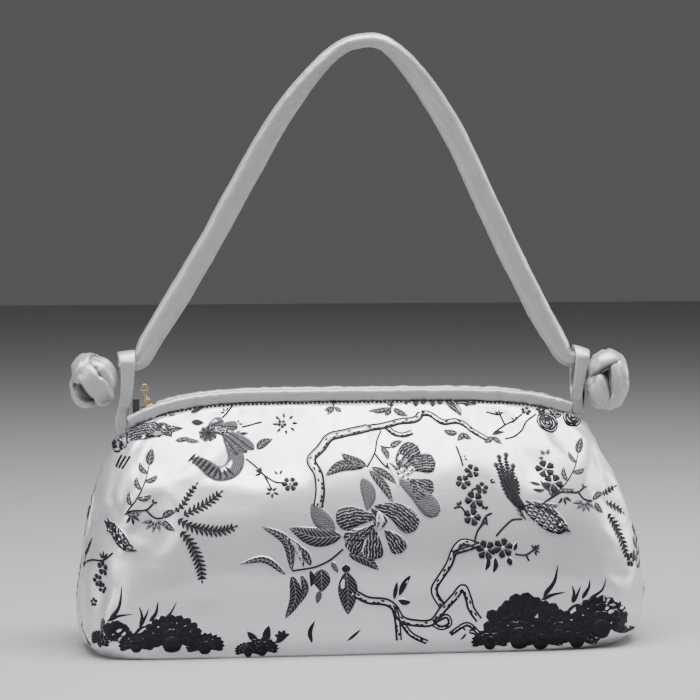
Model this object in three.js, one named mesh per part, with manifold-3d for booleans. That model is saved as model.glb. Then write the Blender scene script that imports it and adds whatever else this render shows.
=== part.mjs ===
import * as THREE from 'three';
import { mergeVertices } from 'three/addons/utils/BufferGeometryUtils.js';
import Module from 'manifold-3d';

// A small evening handbag of padded brocade: a soft loaf-shaped body on a flat base, a zipped
// mouth with satin bindings, and a rolled satin strap knotted through a loop at each end.
// Millimetres, +Z up, +X to the right, -Y to the front. The origin is the middle of the base.

// Body.
const bodyWidth = 259;         // greatest width, low on the body
const bodyDepth = 86;          // greatest depth, low on the body
const wallThickness = 2.5;     // padded brocade
const baseThickness = 3;       // stiffened base panel
const fit = 0.3;               // clearance between neighbouring pieces

// Mouth: the line of the two bindings.
const rimWidth = 215.9;        // from one end of the mouth to the other
const rimDepth = 16;           // outside of the front binding to outside of the back one
const rimHeight = 115.8;       // floor to the top of the bindings at the middle
const rimDropLeft = 15.5;      // how far the mouth's line falls to its left end
const rimDropRight = 10.5;
const rimShift = -3.05;        // the mouth's middle, to the left of the body's middle
const rimBend = 5;             // power of the arch: high is flat in the middle, steep at the ends
const bindingHeight = 5.5;
const bindingThickness = 4;
const bindingProud = 0.8;      // how far a binding stands out from the panel below it

// Zip.
const tapeThickness = 1.2;
const tapeSink = 3.4;          // top of the bindings down to the top of the tape
const chainWidth = 4;
const chainHeight = 1.8;
const chainInset = 6.9;        // from each loop to the first tooth
const toothPitch = 3;
const tapeEndWidth = 3;        // the folded end that stands up beside the left loop
const tapeEndHeight = 10;
const sliderLength = 8;
const sliderStop = 0.25;       // between the tape's folded end and the slider
const sliderPlate = 1;
const sliderClearance = 0.5;
const earThickness = 0.8;
const earHeight = 3;
const earLength = 3;
const pinRadius = 0.5;
const pullThickness = 1.2;
const pullLength = 6;          // pin to the middle of the upper eye
const pullEyeRadius = 2;
const pullHoleRadius = 0.9;
const pullStemWidth = 1.5;
const pullLean = 14;           // degrees from upright towards the left loop, as it stands

// Loops at the ends of the mouth.
const loopWidth = 6;           // width of the folded band, along X
const loopThickness = 1.6;
const loopDepth = 13;          // across the ring at its widest
const loopInsetLeft = 5.45;    // end of the mouth to the middle of the loop
const loopInsetRight = 3.95;
const loopRest = 0.7;          // foot of a loop above the panels' edge at the loop's left side
const loopFootDepth = 4;
const loopFootHeight = 9.5;    // sewn foot below the open ring
const loopTop = 133.5;         // floor to the top of the ring

// Strap and knots.
const strapWidth = 10.5;
const strapThickness = 6.5;
const strapTop = 275.5;        // floor to the top of the strap
const strapSquash = 0.3;       // how far the strap is squeezed in width where it enters a loop, share
const knotDepth = 23;
const leftKnotWidth = 21.6;
const leftKnotHeight = 24.8;
const rightKnotWidth = 20.5;
const rightKnotHeight = 28.3;
const leftKnotDrop = 7.8;       // middle of the knot below the middle of the strap's end
const rightKnotDrop = 9.4;
const strandBreadth = 10;      // the strap's tube where it is pulled tight in a knot
const strandThickness = 6.2;
const strandTaper = 0.35;      // how much a strand narrows at its tucked ends, share

// Sections of the body from the base up to the panels' top edge.
// rise: share of the panel's height. left, right: share of the way from the mouth's half-width out
// to the body's half-width. swell: share of the way from the mouth's depth out to the body's depth.
// crispLeft, crispRight: power of the corner, where high is square.
const sections = [
  { rise: 0.00, left: 0.54, right: 0.52, swell: 0.82, crispLeft: 16, crispRight: 7 },
  { rise: 0.06, left: 0.80, right: 0.88, swell: 0.94, crispLeft: 13, crispRight: 8 },
  { rise: 0.18, left: 0.90, right: 1.02, swell: 1.00, crispLeft: 10, crispRight: 8 },
  { rise: 0.36, left: 0.80, right: 1.01, swell: 0.97, crispLeft: 9, crispRight: 8 },
  { rise: 0.55, left: 0.64, right: 0.85, swell: 0.86, crispLeft: 9, crispRight: 8 },
  { rise: 0.72, left: 0.47, right: 0.56, swell: 0.64, crispLeft: 10, crispRight: 9 },
  { rise: 0.87, left: 0.24, right: 0.28, swell: 0.35, crispLeft: 13, crispRight: 12 },
  { rise: 1.00, left: 0.00, right: 0.00, swell: 0.00, crispLeft: 20, crispRight: 20 },
];
const gussetPower = 2.4;       // how full the plan is from the front corner round to the side seam

// Dents of the padded cloth. side: -1 front, 1 back. across: share of the half-width.
// rise: share of the panel's height. sunk: share of the body's depth. wide, tall: shares of the
// body's width and of the panel's height.
const dents = [
  { side: -1, across: -0.95, rise: 0.64, sunk: 0.030, wide: 0.030, tall: 0.07 },
  { side: -1, across: -0.88, rise: 0.55, sunk: 0.018, wide: 0.040, tall: 0.04 },
  { side: -1, across: -0.86, rise: 0.76, sunk: 0.016, wide: 0.016, tall: 0.12 },
  { side: -1, across: 0.62, rise: 0.86, sunk: 0.014, wide: 0.090, tall: 0.10 },
  { side: -1, across: -0.30, rise: 0.90, sunk: 0.010, wide: 0.110, tall: 0.08 },
  { side: 1, across: 0.90, rise: 0.60, sunk: 0.024, wide: 0.035, tall: 0.08 },
  { side: 1, across: -0.55, rise: 0.84, sunk: 0.014, wide: 0.090, tall: 0.10 },
  { side: 1, across: 0.20, rise: 0.88, sunk: 0.010, wide: 0.110, tall: 0.08 },
];

// Route of the strap from the left knot to the right one.
// along: share of the half-span between the loops' outer faces. rise: share of the height from
// the loops to the top. turn: share of a quarter turn, 0 with the flat side to the front and 1
// with it upwards. squeeze: share of strapSquash.
const strapRoute = [
  { along: -1.000, rise: 0.000, turn: 0.00, squeeze: 1.0 },
  { along: -0.935, rise: 0.000, turn: 0.00, squeeze: 1.0 },
  { along: -0.902, rise: 0.014, turn: 0.00, squeeze: 0.7 },
  { along: -0.868, rise: 0.062, turn: 0.00, squeeze: 0.2 },
  { along: -0.769, rise: 0.179, turn: 0.05, squeeze: 0.0 },
  { along: -0.616, rise: 0.368, turn: 0.10, squeeze: 0.0 },
  { along: -0.471, rise: 0.560, turn: 0.15, squeeze: 0.0 },
  { along: -0.322, rise: 0.749, turn: 0.30, squeeze: 0.0 },
  { along: -0.152, rise: 0.913, turn: 0.75, squeeze: 0.0 },
  { along: -0.042, rise: 0.982, turn: 0.95, squeeze: 0.0 },
  { along: 0.065, rise: 1.000, turn: 1.00, squeeze: 0.0 },
  { along: 0.135, rise: 0.988, turn: 0.90, squeeze: 0.0 },
  { along: 0.232, rise: 0.924, turn: 0.60, squeeze: 0.0 },
  { along: 0.340, rise: 0.818, turn: 0.30, squeeze: 0.0 },
  { along: 0.448, rise: 0.684, turn: 0.15, squeeze: 0.0 },
  { along: 0.611, rise: 0.430, turn: 0.10, squeeze: 0.0 },
  { along: 0.789, rise: 0.171, turn: 0.05, squeeze: 0.0 },
  { along: 0.884, rise: 0.050, turn: 0.00, squeeze: 0.3 },
  { along: 0.912, rise: 0.013, turn: 0.00, squeeze: 0.8 },
  { along: 0.940, rise: 0.000, turn: 0.00, squeeze: 1.0 },
  { along: 1.000, rise: 0.000, turn: 0.00, squeeze: 1.0 },
];

// Strands that each knot shows. across, front, up: shares of the knot's half-width, half-depth
// and half-height. Rows with the same strand follow each other along it.
const leftKnotStrands = [
  { strand: 'over', across: -0.60, front: 0.10, up: 0.50 },
  { strand: 'over', across: -0.30, front: 0.55, up: 0.30 },
  { strand: 'over', across: 0.10, front: 0.62, up: -0.10 },
  { strand: 'over', across: 0.40, front: 0.35, up: -0.50 },
  { strand: 'over', across: 0.45, front: -0.10, up: -0.62 },
  { strand: 'behind', across: -0.20, front: 0.10, up: 0.66 },
  { strand: 'behind', across: 0.28, front: 0.42, up: 0.52 },
  { strand: 'behind', across: 0.58, front: 0.36, up: 0.05 },
  { strand: 'behind', across: 0.60, front: 0.00, up: -0.35 },
  { strand: 'crown', across: 0.20, front: -0.50, up: 0.50 },
  { strand: 'crown', across: -0.30, front: -0.15, up: 0.68 },
  { strand: 'crown', across: -0.52, front: 0.35, up: 0.42 },
  { strand: 'crown', across: -0.66, front: 0.25, up: -0.05 },
  { strand: 'hook', across: -0.62, front: -0.20, up: 0.20 },
  { strand: 'hook', across: -0.66, front: -0.05, up: -0.25 },
  { strand: 'hook', across: -0.40, front: 0.10, up: -0.62 },
  { strand: 'hook', across: 0.05, front: 0.10, up: -0.64 },
  { strand: 'back', across: 0.45, front: -0.40, up: 0.40 },
  { strand: 'back', across: 0.05, front: -0.64, up: 0.00 },
  { strand: 'back', across: -0.35, front: -0.42, up: -0.45 },
  { strand: 'under', across: -0.55, front: -0.45, up: 0.15 },
  { strand: 'under', across: 0.00, front: -0.60, up: -0.35 },
  { strand: 'under', across: 0.45, front: -0.30, up: -0.50 },
];
const rightKnotStrands = [
  { strand: 'leaf', across: 0.20, front: 0.10, up: 0.68 },
  { strand: 'leaf', across: 0.38, front: 0.50, up: 0.38 },
  { strand: 'leaf', across: 0.42, front: 0.58, up: -0.08 },
  { strand: 'leaf', across: 0.28, front: 0.40, up: -0.50 },
  { strand: 'leaf', across: 0.05, front: 0.00, up: -0.70 },
  { strand: 'twin', across: -0.45, front: 0.20, up: 0.30 },
  { strand: 'twin', across: -0.42, front: 0.50, up: -0.05 },
  { strand: 'twin', across: -0.25, front: 0.42, up: -0.48 },
  { strand: 'twin', across: 0.00, front: 0.00, up: -0.66 },
  { strand: 'cross', across: -0.60, front: 0.05, up: 0.20 },
  { strand: 'cross', across: -0.40, front: 0.40, up: 0.48 },
  { strand: 'cross', across: 0.05, front: 0.40, up: 0.64 },
  { strand: 'cross', across: 0.30, front: -0.10, up: 0.68 },
  { strand: 'collar', across: 0.05, front: -0.20, up: 0.68 },
  { strand: 'collar', across: 0.50, front: -0.10, up: 0.55 },
  { strand: 'collar', across: 0.64, front: -0.10, up: 0.10 },
  { strand: 'collar', across: 0.50, front: -0.15, up: -0.40 },
  { strand: 'back', across: -0.45, front: -0.35, up: 0.40 },
  { strand: 'back', across: 0.00, front: -0.62, up: 0.00 },
  { strand: 'back', across: 0.30, front: -0.40, up: -0.45 },
  { strand: 'under', across: 0.45, front: -0.45, up: 0.20 },
  { strand: 'under', across: -0.05, front: -0.58, up: -0.35 },
  { strand: 'under', across: -0.42, front: -0.25, up: -0.50 },
];
const knotCore = 0.6;          // size of the packed middle of a knot, share of the knot

// How finely each surface is divided.
const faceColumns = 26;
const gussetColumns = 4;
const panelRows = 12;
const rimStations = 34;
const strapStations = 50;
const strapSides = 12;
const strandStations = 8;
const strandSides = 8;

const wasm = await Module();
wasm.setup();

const panelRimDepth = rimDepth - 2 * bindingProud;

function material(name, color, roughness, metalness) {
  return new THREE.MeshStandardMaterial({ name, color, roughness, metalness });
}
const brocade = material('brocade', 0xcfcdd4, 0.42, 0);
const satin = material('satin', 0xb9bbbc, 0.38, 0);
const tapeCloth = material('zip tape', 0x4a4340, 0.8, 0);
const brass = material('brass', 0xa88f63, 0.35, 1);

function lerp(a, b, share) {
  return a + (b - a) * share;
}

// Reads a column of a table between its rows along a smooth curve.
function readTable(rows, key, column, at) {
  let i = 0;
  while (i < rows.length - 2 && at > rows[i + 1][key]) i += 1;
  const [p0, p1, p2, p3] = [i - 1, i, i + 1, i + 2].map((n) => rows[THREE.MathUtils.clamp(n, 0, rows.length - 1)]);
  const span = p2[key] - p1[key];
  const share = (at - p1[key]) / span;
  const slope = (a, b) => (b[key] === a[key] ? 0 : (b[column] - a[column]) / (b[key] - a[key]) * span);
  const m1 = slope(p0, p2);
  const m2 = slope(p1, p3);
  const s2 = share * share;
  const s3 = s2 * share;
  return (2 * s3 - 3 * s2 + 1) * p1[column] + (s3 - 2 * s2 + share) * m1
    + (3 * s2 - 2 * s3) * p2[column] + (s3 - s2) * m2;
}

// Fall and slope of the mouth's line at a share of its half-width.
function rimDrop(across) {
  return across < 0 ? rimDropLeft : rimDropRight;
}
function rimFall(across) {
  return rimDrop(across) * Math.abs(across) ** rimBend;
}
function rimSlope(across) {
  return Math.sign(across) * rimDrop(across) * rimBend * Math.abs(across) ** (rimBend - 1) / (rimWidth / 2);
}

// Height of the panels' top edge, square below the binding.
function panelTop(across) {
  return rimHeight - rimFall(across) - (bindingHeight + fit) * Math.hypot(1, rimSlope(across));
}

// The plan of the body at one height: half-widths, half-depth and corner powers.
function planAt(rise) {
  const read = (column) => readTable(sections, 'rise', column, rise);
  const flare = (bodyWidth - rimWidth) / 2;
  return {
    rise,
    middle: rimShift * rise,
    left: rimWidth / 2 + flare * read('left'),
    right: rimWidth / 2 + flare * read('right'),
    depth: lerp(panelRimDepth, bodyDepth, read('swell')) / 2,
    crispLeft: read('crispLeft'),
    crispRight: read('crispRight'),
  };
}

// A point on a plan's outline. column runs from -1 at the left side seam to 1 at the right one;
// between the two corners it follows the face, beyond them the gusset.
const cornerColumn = faceColumns / (faceColumns + 2 * gussetColumns);
const cornerAcross = 0.94;
function planPoint(plan, column) {
  const crisp = column < 0 ? plan.crispLeft : plan.crispRight;
  const half = column < 0 ? plan.left : plan.right;
  const corner = (1 - cornerAcross ** crisp) ** (1 / gussetPower);
  const reach = Math.abs(column);
  let across = reach / cornerColumn * cornerAcross;
  let out = (1 - Math.min(across, 1) ** crisp) ** (1 / gussetPower);
  if (reach > cornerColumn) {
    out = corner * (1 - reach) / (1 - cornerColumn);
    across = (1 - out ** gussetPower) ** (1 / crisp);
  }
  const share = across * Math.sign(column);
  return {
    share,
    point: new THREE.Vector3(plan.middle + share * half, plan.depth * out,
      plan.rise * panelTop(share)),
  };
}

// How deep the dents of one side are at a place on it.
function dentAt(side, share, rise) {
  let depth = 0;
  for (const dent of dents.filter((row) => row.side === side)) {
    const dx = (share - dent.across) / (2 * dent.wide);
    const dz = (rise - dent.rise) / dent.tall;
    depth += dent.sunk * bodyDepth * Math.exp(-dx * dx - dz * dz);
  }
  return depth;
}

function panelGrid(side) {
  const columns = faceColumns + 2 * gussetColumns;
  const rows = [];
  for (let r = 0; r <= panelRows; r += 1) {
    const plan = planAt((r / panelRows) ** 1.3);
    const row = [];
    for (let c = 0; c <= columns; c += 1) {
      const { share, point } = planPoint(plan, 2 * c / columns - 1);
      row.push({ share, rise: plan.rise, point: new THREE.Vector3(point.x, side * point.y, point.z) });
    }
    rows.push(row);
  }
  return rows;
}

// Outward direction of a grid at one of its points, level along its lower and upper edges.
function gridNormal(grid, r, c, side) {
  const rowAt = (n) => grid[THREE.MathUtils.clamp(n, 0, grid.length - 1)];
  const row = grid[r];
  const last = row.length - 1;
  const along = row[Math.min(c + 1, last)].point.clone().sub(row[Math.max(c - 1, 0)].point);
  const up = rowAt(r + 1)[c].point.clone().sub(rowAt(r - 1)[c].point);
  const normal = side < 0 ? along.cross(up) : up.cross(along);
  if (c === 0 || c === last) normal.y = 0;
  if (r === 0 || r === grid.length - 1) normal.z = 0;
  return normal.normalize();
}

function toGeometry(positions, triangles) {
  const geometry = new THREE.BufferGeometry();
  geometry.setAttribute('position', new THREE.Float32BufferAttribute(positions, 3));
  geometry.setIndex(triangles);
  return geometry;
}

// Closes two grids of points, an outer skin and an inner one, into one wall.
function wallBetween(outer, inner, flip) {
  const rows = outer.length;
  const columns = outer[0].length;
  const positions = [...outer.flat(), ...inner.flat()].flatMap((p) => [p.x, p.y, p.z]);
  const at = (layer, r, c) => (layer * rows + r) * columns + c;
  const triangles = [];
  const quad = (a, b, c, d) => triangles.push(...(flip ? [a, c, b, a, d, c] : [a, b, c, a, c, d]));
  for (let r = 0; r < rows - 1; r += 1) {
    for (let c = 0; c < columns - 1; c += 1) {
      quad(at(0, r, c), at(0, r, c + 1), at(0, r + 1, c + 1), at(0, r + 1, c));
      quad(at(1, r, c), at(1, r + 1, c), at(1, r + 1, c + 1), at(1, r, c + 1));
    }
    quad(at(0, r, 0), at(0, r + 1, 0), at(1, r + 1, 0), at(1, r, 0));
    quad(at(0, r, columns - 1), at(1, r, columns - 1), at(1, r + 1, columns - 1), at(0, r + 1, columns - 1));
  }
  for (let c = 0; c < columns - 1; c += 1) {
    quad(at(0, 0, c), at(1, 0, c), at(1, 0, c + 1), at(0, 0, c + 1));
    quad(at(0, rows - 1, c), at(0, rows - 1, c + 1), at(1, rows - 1, c + 1), at(1, rows - 1, c));
  }
  return toGeometry(positions, triangles);
}

// Front or back half of the body: face and half of each gusset in one padded wall.
function bodyPanel(side) {
  const grid = panelGrid(side);
  const dented = grid.map((row, r) => row.map((cell, c) => {
    const sunk = dentAt(side, cell.share, cell.rise);
    const point = cell.point.clone().addScaledVector(gridNormal(grid, r, c, side), -sunk);
    return { ...cell, point };
  }));
  const seam = new THREE.Vector3(0, side * fit / 2, 0);
  const outer = dented.map((row) => row.map((cell) => cell.point.clone().add(seam)));
  const inner = dented.map((row, r) => row.map((cell, c) => cell.point.clone()
    .addScaledVector(gridNormal(dented, r, c, side), -wallThickness).add(seam)));
  return wallBetween(outer, inner, side > 0);
}

// Flat base inside the panels' lower edges.
function basePanel() {
  const plan = planAt(0);
  const inset = wallThickness + fit;
  const columns = faceColumns + 2 * gussetColumns;
  const outline = [];
  for (let c = 0; c <= columns; c += 1) outline.push(planPoint(plan, 2 * c / columns - 1).point);
  const edge = (height, side) => outline.slice(1, -1).map((p, i) => {
    const along = outline[i + 2].clone().sub(outline[i]);
    const inward = new THREE.Vector2(along.y, -along.x).normalize();
    return new THREE.Vector3(p.x + inset * inward.x, side * (p.y + inset * inward.y), height);
  });
  const [top, bottom] = [baseThickness, 0].map((height) => [edge(height, -1), edge(height, 1)]);
  return wallBetween(top, bottom, false);
}

// Sweeps an oval along stations. Each has a centre, two directions across the path and the
// half-sizes along them. blunt is the oval's power: 2 is an ellipse, more is squarer.
function sweep(stations, sides, blunt) {
  const positions = [];
  for (const { centre, across, out, halfAcross, halfOut } of stations) {
    for (let s = 0; s < sides; s += 1) {
      const angle = 2 * Math.PI * (s + 0.5) / sides;
      const round = (value) => Math.sign(value) * Math.abs(value) ** (2 / blunt);
      const point = centre.clone()
        .addScaledVector(across, halfAcross * round(Math.cos(angle)))
        .addScaledVector(out, halfOut * round(Math.sin(angle)));
      positions.push(point.x, point.y, point.z);
    }
  }
  const triangles = [];
  for (let i = 0; i < stations.length - 1; i += 1) {
    for (let s = 0; s < sides; s += 1) {
      const [a, b] = [i * sides + s, i * sides + (s + 1) % sides];
      triangles.push(a, b, b + sides, a, b + sides, a + sides);
    }
  }
  const end = (stations.length - 1) * sides;
  for (let s = 1; s < sides - 1; s += 1) {
    triangles.push(0, s + 1, s, end, end + s, end + s + 1);
  }
  return toGeometry(positions, triangles);
}

// A point and the path's directions on the mouth's line, at a share of its half-width.
function rimFrame(share, depth, below) {
  const x = rimShift + share * rimWidth / 2;
  const slope = rimSlope(share);
  const up = new THREE.Vector3(slope, 0, 1).normalize();
  const centre = new THREE.Vector3(x, depth, rimHeight - rimFall(share)).addScaledVector(up, -below);
  return { centre, up, slope };
}

// Half-depth of the outside of the bindings at a share of the mouth's half-width.
function bindingOut(share) {
  const plan = planAt(1);
  const full = (1 - Math.abs(share) ** plan.crispLeft) ** (1 / gussetPower);
  return plan.depth * full + bindingProud;
}

// Shares of the mouth's half-width at places along it, close together towards its two ends.
function rimShares(fromX, toX) {
  return Array.from({ length: rimStations + 1 }, (_, i) => {
    const x = lerp(fromX, toX, 0.5 + 0.5 * Math.sin((i / rimStations - 0.5) * Math.PI));
    return (x - rimShift) / (rimWidth / 2);
  });
}

// The two loops' middles, and the mouth's open length between them.
const loopLeft = rimShift - rimWidth / 2 + loopInsetLeft;
const loopRight = rimShift + rimWidth / 2 - loopInsetRight;
const mouthLeft = loopLeft + loopWidth / 2 + fit;
const mouthRight = loopRight - loopWidth / 2 - fit;
const mouthMiddle = (loopLeft + loopRight) / 2;

// A binding runs from the middle of the left loop, past its foot, to the inside of the right loop.
function binding(side) {
  const stations = [];
  for (const share of rimShares(loopLeft, mouthRight)) {
    const middle = side * (bindingOut(share) - bindingThickness / 2);
    const { centre, up } = rimFrame(share, middle, bindingHeight / 2);
    stations.push({
      centre,
      across: new THREE.Vector3(0, 1, 0),
      out: up,
      halfAcross: bindingThickness / 2,
      halfOut: bindingHeight / 2,
    });
  }
  return sweep(stations, 8, 4);
}

function toSolid(geometry) {
  const bare = geometry.clone();
  bare.deleteAttribute('normal');
  bare.deleteAttribute('uv');
  const merged = mergeVertices(bare, 1e-4);
  return new wasm.Manifold(new wasm.Mesh({
    numProp: 3,
    vertProperties: Float32Array.from(merged.attributes.position.array),
    triVerts: Uint32Array.from(merged.index.array),
  }));
}

function fromSolid(solid) {
  const mesh = solid.getMesh();
  return toGeometry(Array.from(mesh.vertProperties), Array.from(mesh.triVerts));
}

function fuse(geometries) {
  return fromSolid(geometries.map(toSolid).reduce((whole, next) => whole.add(next)));
}

// Closed zip tape between the bindings, with its folded end standing up beside the left loop.
function zipTape() {
  const stations = [];
  for (const share of rimShares(mouthLeft, mouthRight)) {
    const { centre, up } = rimFrame(share, 0, tapeSink + tapeThickness / 2);
    stations.push({
      centre,
      across: new THREE.Vector3(0, 1, 0),
      out: up,
      halfAcross: bindingOut(share) - bindingThickness - fit,
      halfOut: tapeThickness / 2,
    });
  }
  const strip = sweep(stations, 4, 40);
  const foot = stations[0].centre.z - tapeThickness / 2;
  const stub = new THREE.BoxGeometry(tapeEndWidth, tapeThickness, tapeEndHeight);
  stub.translate(mouthLeft + tapeEndWidth / 2, 0, foot + tapeEndHeight / 2);
  return fuse([strip, stub]);
}

// The fused row of teeth, a comb that follows the mouth's line.
const toothProfile = [
  { along: 0, lift: 0.5 },
  { along: 0.25, lift: 1 },
  { along: 0.75, lift: 1 },
];
function zipChain() {
  const teeth = Math.floor((mouthRight - mouthLeft - 2 * chainInset) / toothPitch);
  const comb = [];
  for (let i = 0; i < teeth; i += 1) {
    comb.push(...toothProfile.map(({ along, lift }) => ({ x: (i + along - teeth / 2) * toothPitch, lift })));
  }
  const edge = (lifted, side) => comb.map(({ x, lift }) => {
    const rise = lifted ? lift * chainHeight : 0;
    return rimFrame((mouthMiddle + x - rimShift) / (rimWidth / 2), side * chainWidth / 2, tapeSink - fit - rise).centre;
  });
  const [top, bottom] = [true, false].map((lifted) => [edge(lifted, -1), edge(lifted, 1)]);
  return wallBetween(top, bottom, false);
}

const sliderMiddle = mouthLeft + tapeEndWidth + sliderStop + sliderLength / 2;
const sliderShare = (sliderMiddle - rimShift) / (rimWidth / 2);
const sliderSeat = rimFrame(sliderShare, 0, tapeSink - fit - chainHeight - sliderClearance);
const sliderTurn = Math.atan(sliderSeat.slope);
const pinLift = sliderPlate + earHeight - pinRadius - earThickness;

function drum(radius, length, sides) {
  return new THREE.CylinderGeometry(radius, radius, length, sides);
}

// Slider over the chain: a plate with a flange down each side, and two ears that hold the pin.
function zipSlider() {
  const inside = chainWidth / 2 + sliderClearance;
  const flange = chainHeight;
  const outside = inside + sliderPlate * 0.6;
  const section = new THREE.Shape([
    new THREE.Vector2(-outside, -flange), new THREE.Vector2(-inside, -flange), new THREE.Vector2(-inside, 0),
    new THREE.Vector2(inside, 0), new THREE.Vector2(inside, -flange), new THREE.Vector2(outside, -flange),
    new THREE.Vector2(outside, sliderPlate * 0.7), new THREE.Vector2(outside * 0.7, sliderPlate),
    new THREE.Vector2(-outside * 0.7, sliderPlate), new THREE.Vector2(-outside, sliderPlate * 0.7),
  ]);
  const body = new THREE.ExtrudeGeometry(section, { depth: sliderLength, bevelEnabled: false });
  body.translate(0, 0, -sliderLength / 2);
  body.rotateX(Math.PI / 2).rotateZ(Math.PI / 2);
  const parts = [body];
  const earMiddle = pullThickness / 2 + fit + earThickness / 2;
  for (const side of [-1, 1]) {
    const ear = new THREE.BoxGeometry(earLength, earThickness, earHeight);
    ear.translate(0, side * earMiddle, sliderPlate + earHeight / 2 - earThickness);
    parts.push(ear);
  }
  const pin = drum(pinRadius, 2 * earMiddle, 12);
  pin.translate(0, 0, pinLift);
  parts.push(pin);
  const slider = fuse(parts);
  slider.rotateY(sliderTurn);
  slider.translate(sliderSeat.centre.x, 0, sliderSeat.centre.z);
  return slider;
}

// Flat pull: an eye on the pin, a stem, and a larger open eye at its upper end.
function zipPull() {
  const lowerEye = pinRadius + fit + earThickness;
  const plate = fuse([
    drum(lowerEye, pullThickness, 16),
    drum(pullEyeRadius, pullThickness, 20).translate(0, 0, pullLength),
    new THREE.BoxGeometry(pullStemWidth, pullThickness, pullLength).translate(0, 0, pullLength / 2),
  ]);
  const through = pullThickness + 2;
  const holes = toSolid(drum(pinRadius + fit, through, 16))
    .add(toSolid(drum(pullHoleRadius, through, 16).translate(0, 0, pullLength)));
  const pull = fromSolid(toSolid(plate).subtract(holes));
  pull.rotateY(-THREE.MathUtils.degToRad(pullLean));
  const pin = new THREE.Vector3(0, 0, pinLift).applyAxisAngle(new THREE.Vector3(0, 1, 0), sliderTurn);
  pull.translate(sliderSeat.centre.x + pin.x, 0, sliderSeat.centre.z + pin.z);
  return pull;
}

// Folded satin band at the end of the mouth: a tall ring on a narrow sewn foot.
function endLoop(middle) {
  const loopFoot = panelTop((middle - loopWidth / 2 - rimShift) / (rimWidth / 2)) + loopRest;
  const outline = (inset) => {
    const radius = loopDepth / 2 - inset;
    const foot = loopFootDepth / 2 - inset * 0.6;
    const opening = loopFoot + loopFootHeight;
    const crown = loopTop - loopDepth / 2;
    const points = [new THREE.Vector2(-foot, opening)];
    if (inset === 0) {
      points.push(new THREE.Vector2(-foot, loopFoot), new THREE.Vector2(foot, loopFoot));
    }
    points.push(new THREE.Vector2(foot, opening));
    for (let i = 0; i <= 12; i += 1) {
      const angle = Math.PI * i / 12;
      points.push(new THREE.Vector2(radius * Math.cos(angle), crown + radius * Math.sin(angle)));
    }
    return points;
  };
  const ring = new THREE.Shape(outline(0));
  ring.holes.push(new THREE.Path(outline(loopThickness)));
  const geometry = new THREE.ExtrudeGeometry(ring, { depth: loopWidth, bevelEnabled: false });
  geometry.translate(0, 0, -loopWidth / 2);
  geometry.rotateX(Math.PI / 2).rotateZ(Math.PI / 2);
  geometry.translate(middle, 0, 0);
  return geometry;
}

// The strap's middle line: its ends hang in the loops, against the top of each ring.
const strapEndHeight = loopTop - loopThickness - fit - strapWidth * (1 - strapSquash) / 2;
const halfSpan = (loopRight - loopLeft + loopWidth) / 2;
function strap() {
  const rise = strapTop - strapThickness / 2 - strapEndHeight;
  const points = strapRoute.map((row) => new THREE.Vector3(mouthMiddle + row.along * halfSpan, 0,
    strapEndHeight + row.rise * rise));
  const curve = new THREE.CatmullRomCurve3(points, false, 'centripetal');
  const stations = [];
  for (let i = 0; i <= strapStations; i += 1) {
    const at = i / strapStations * (points.length - 1);
    const row = Math.min(Math.floor(at), points.length - 2);
    const mix = (column) => lerp(strapRoute[row][column], strapRoute[row + 1][column], at - row);
    const tangent = curve.getTangent(i / strapStations);
    const inPlane = new THREE.Vector3(0, 1, 0).cross(tangent).normalize();
    const across = inPlane.clone().applyAxisAngle(tangent, mix('turn') * Math.PI / 2);
    stations.push({
      centre: curve.getPoint(i / strapStations),
      across,
      out: tangent.clone().cross(across).normalize(),
      halfAcross: strapWidth / 2 * (1 - strapSquash * mix('squeeze')),
      halfOut: strapThickness / 2,
    });
  }
  return sweep(stations, strapSides, 2.3);
}

// A tight knot of the strap's own tube: strands laid over a packed middle, drawn to its full
// width, depth and height just outside its loop.
function knot(end, strands, width, height, drop) {
  const size = new THREE.Vector3(width, knotDepth, height);
  const half = size.clone().divideScalar(2);
  const parts = [new THREE.SphereGeometry(1, 12, 8).scale(
    ...half.toArray().map((length) => length * knotCore))];
  for (const name of new Set(strands.map((row) => row.strand))) {
    const points = strands.filter((row) => row.strand === name)
      .map((row) => new THREE.Vector3(row.across, -row.front, row.up).multiply(half));
    const curve = new THREE.CatmullRomCurve3(points);
    const stations = [];
    for (let i = 0; i <= strandStations; i += 1) {
      const share = i / strandStations;
      const centre = curve.getPoint(share);
      const tangent = curve.getTangent(share);
      const outward = centre.clone().addScaledVector(tangent, -centre.dot(tangent)).normalize();
      const taper = 1 - strandTaper * Math.abs(2 * share - 1) ** 3;
      stations.push({
        centre,
        across: outward.clone().cross(tangent).normalize(),
        out: outward,
        halfAcross: strandBreadth / 2 * taper,
        halfOut: strandThickness / 2 * taper,
      });
    }
    parts.push(sweep(stations, strandSides, 2));
  }
  const geometry = fuse(parts);
  geometry.computeBoundingBox();
  const drawn = geometry.boundingBox.getSize(new THREE.Vector3());
  geometry.center();
  geometry.scale(size.x / drawn.x, size.y / drawn.y, size.z / drawn.z);
  geometry.translate(mouthMiddle + end * (halfSpan + fit + half.x), 0, strapEndHeight - drop);
  return geometry;
}

const group = new THREE.Group();
function add(name, geometry, finish) {
  const mesh = new THREE.Mesh(geometry, finish);
  mesh.name = name;
  group.add(mesh);
}

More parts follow.
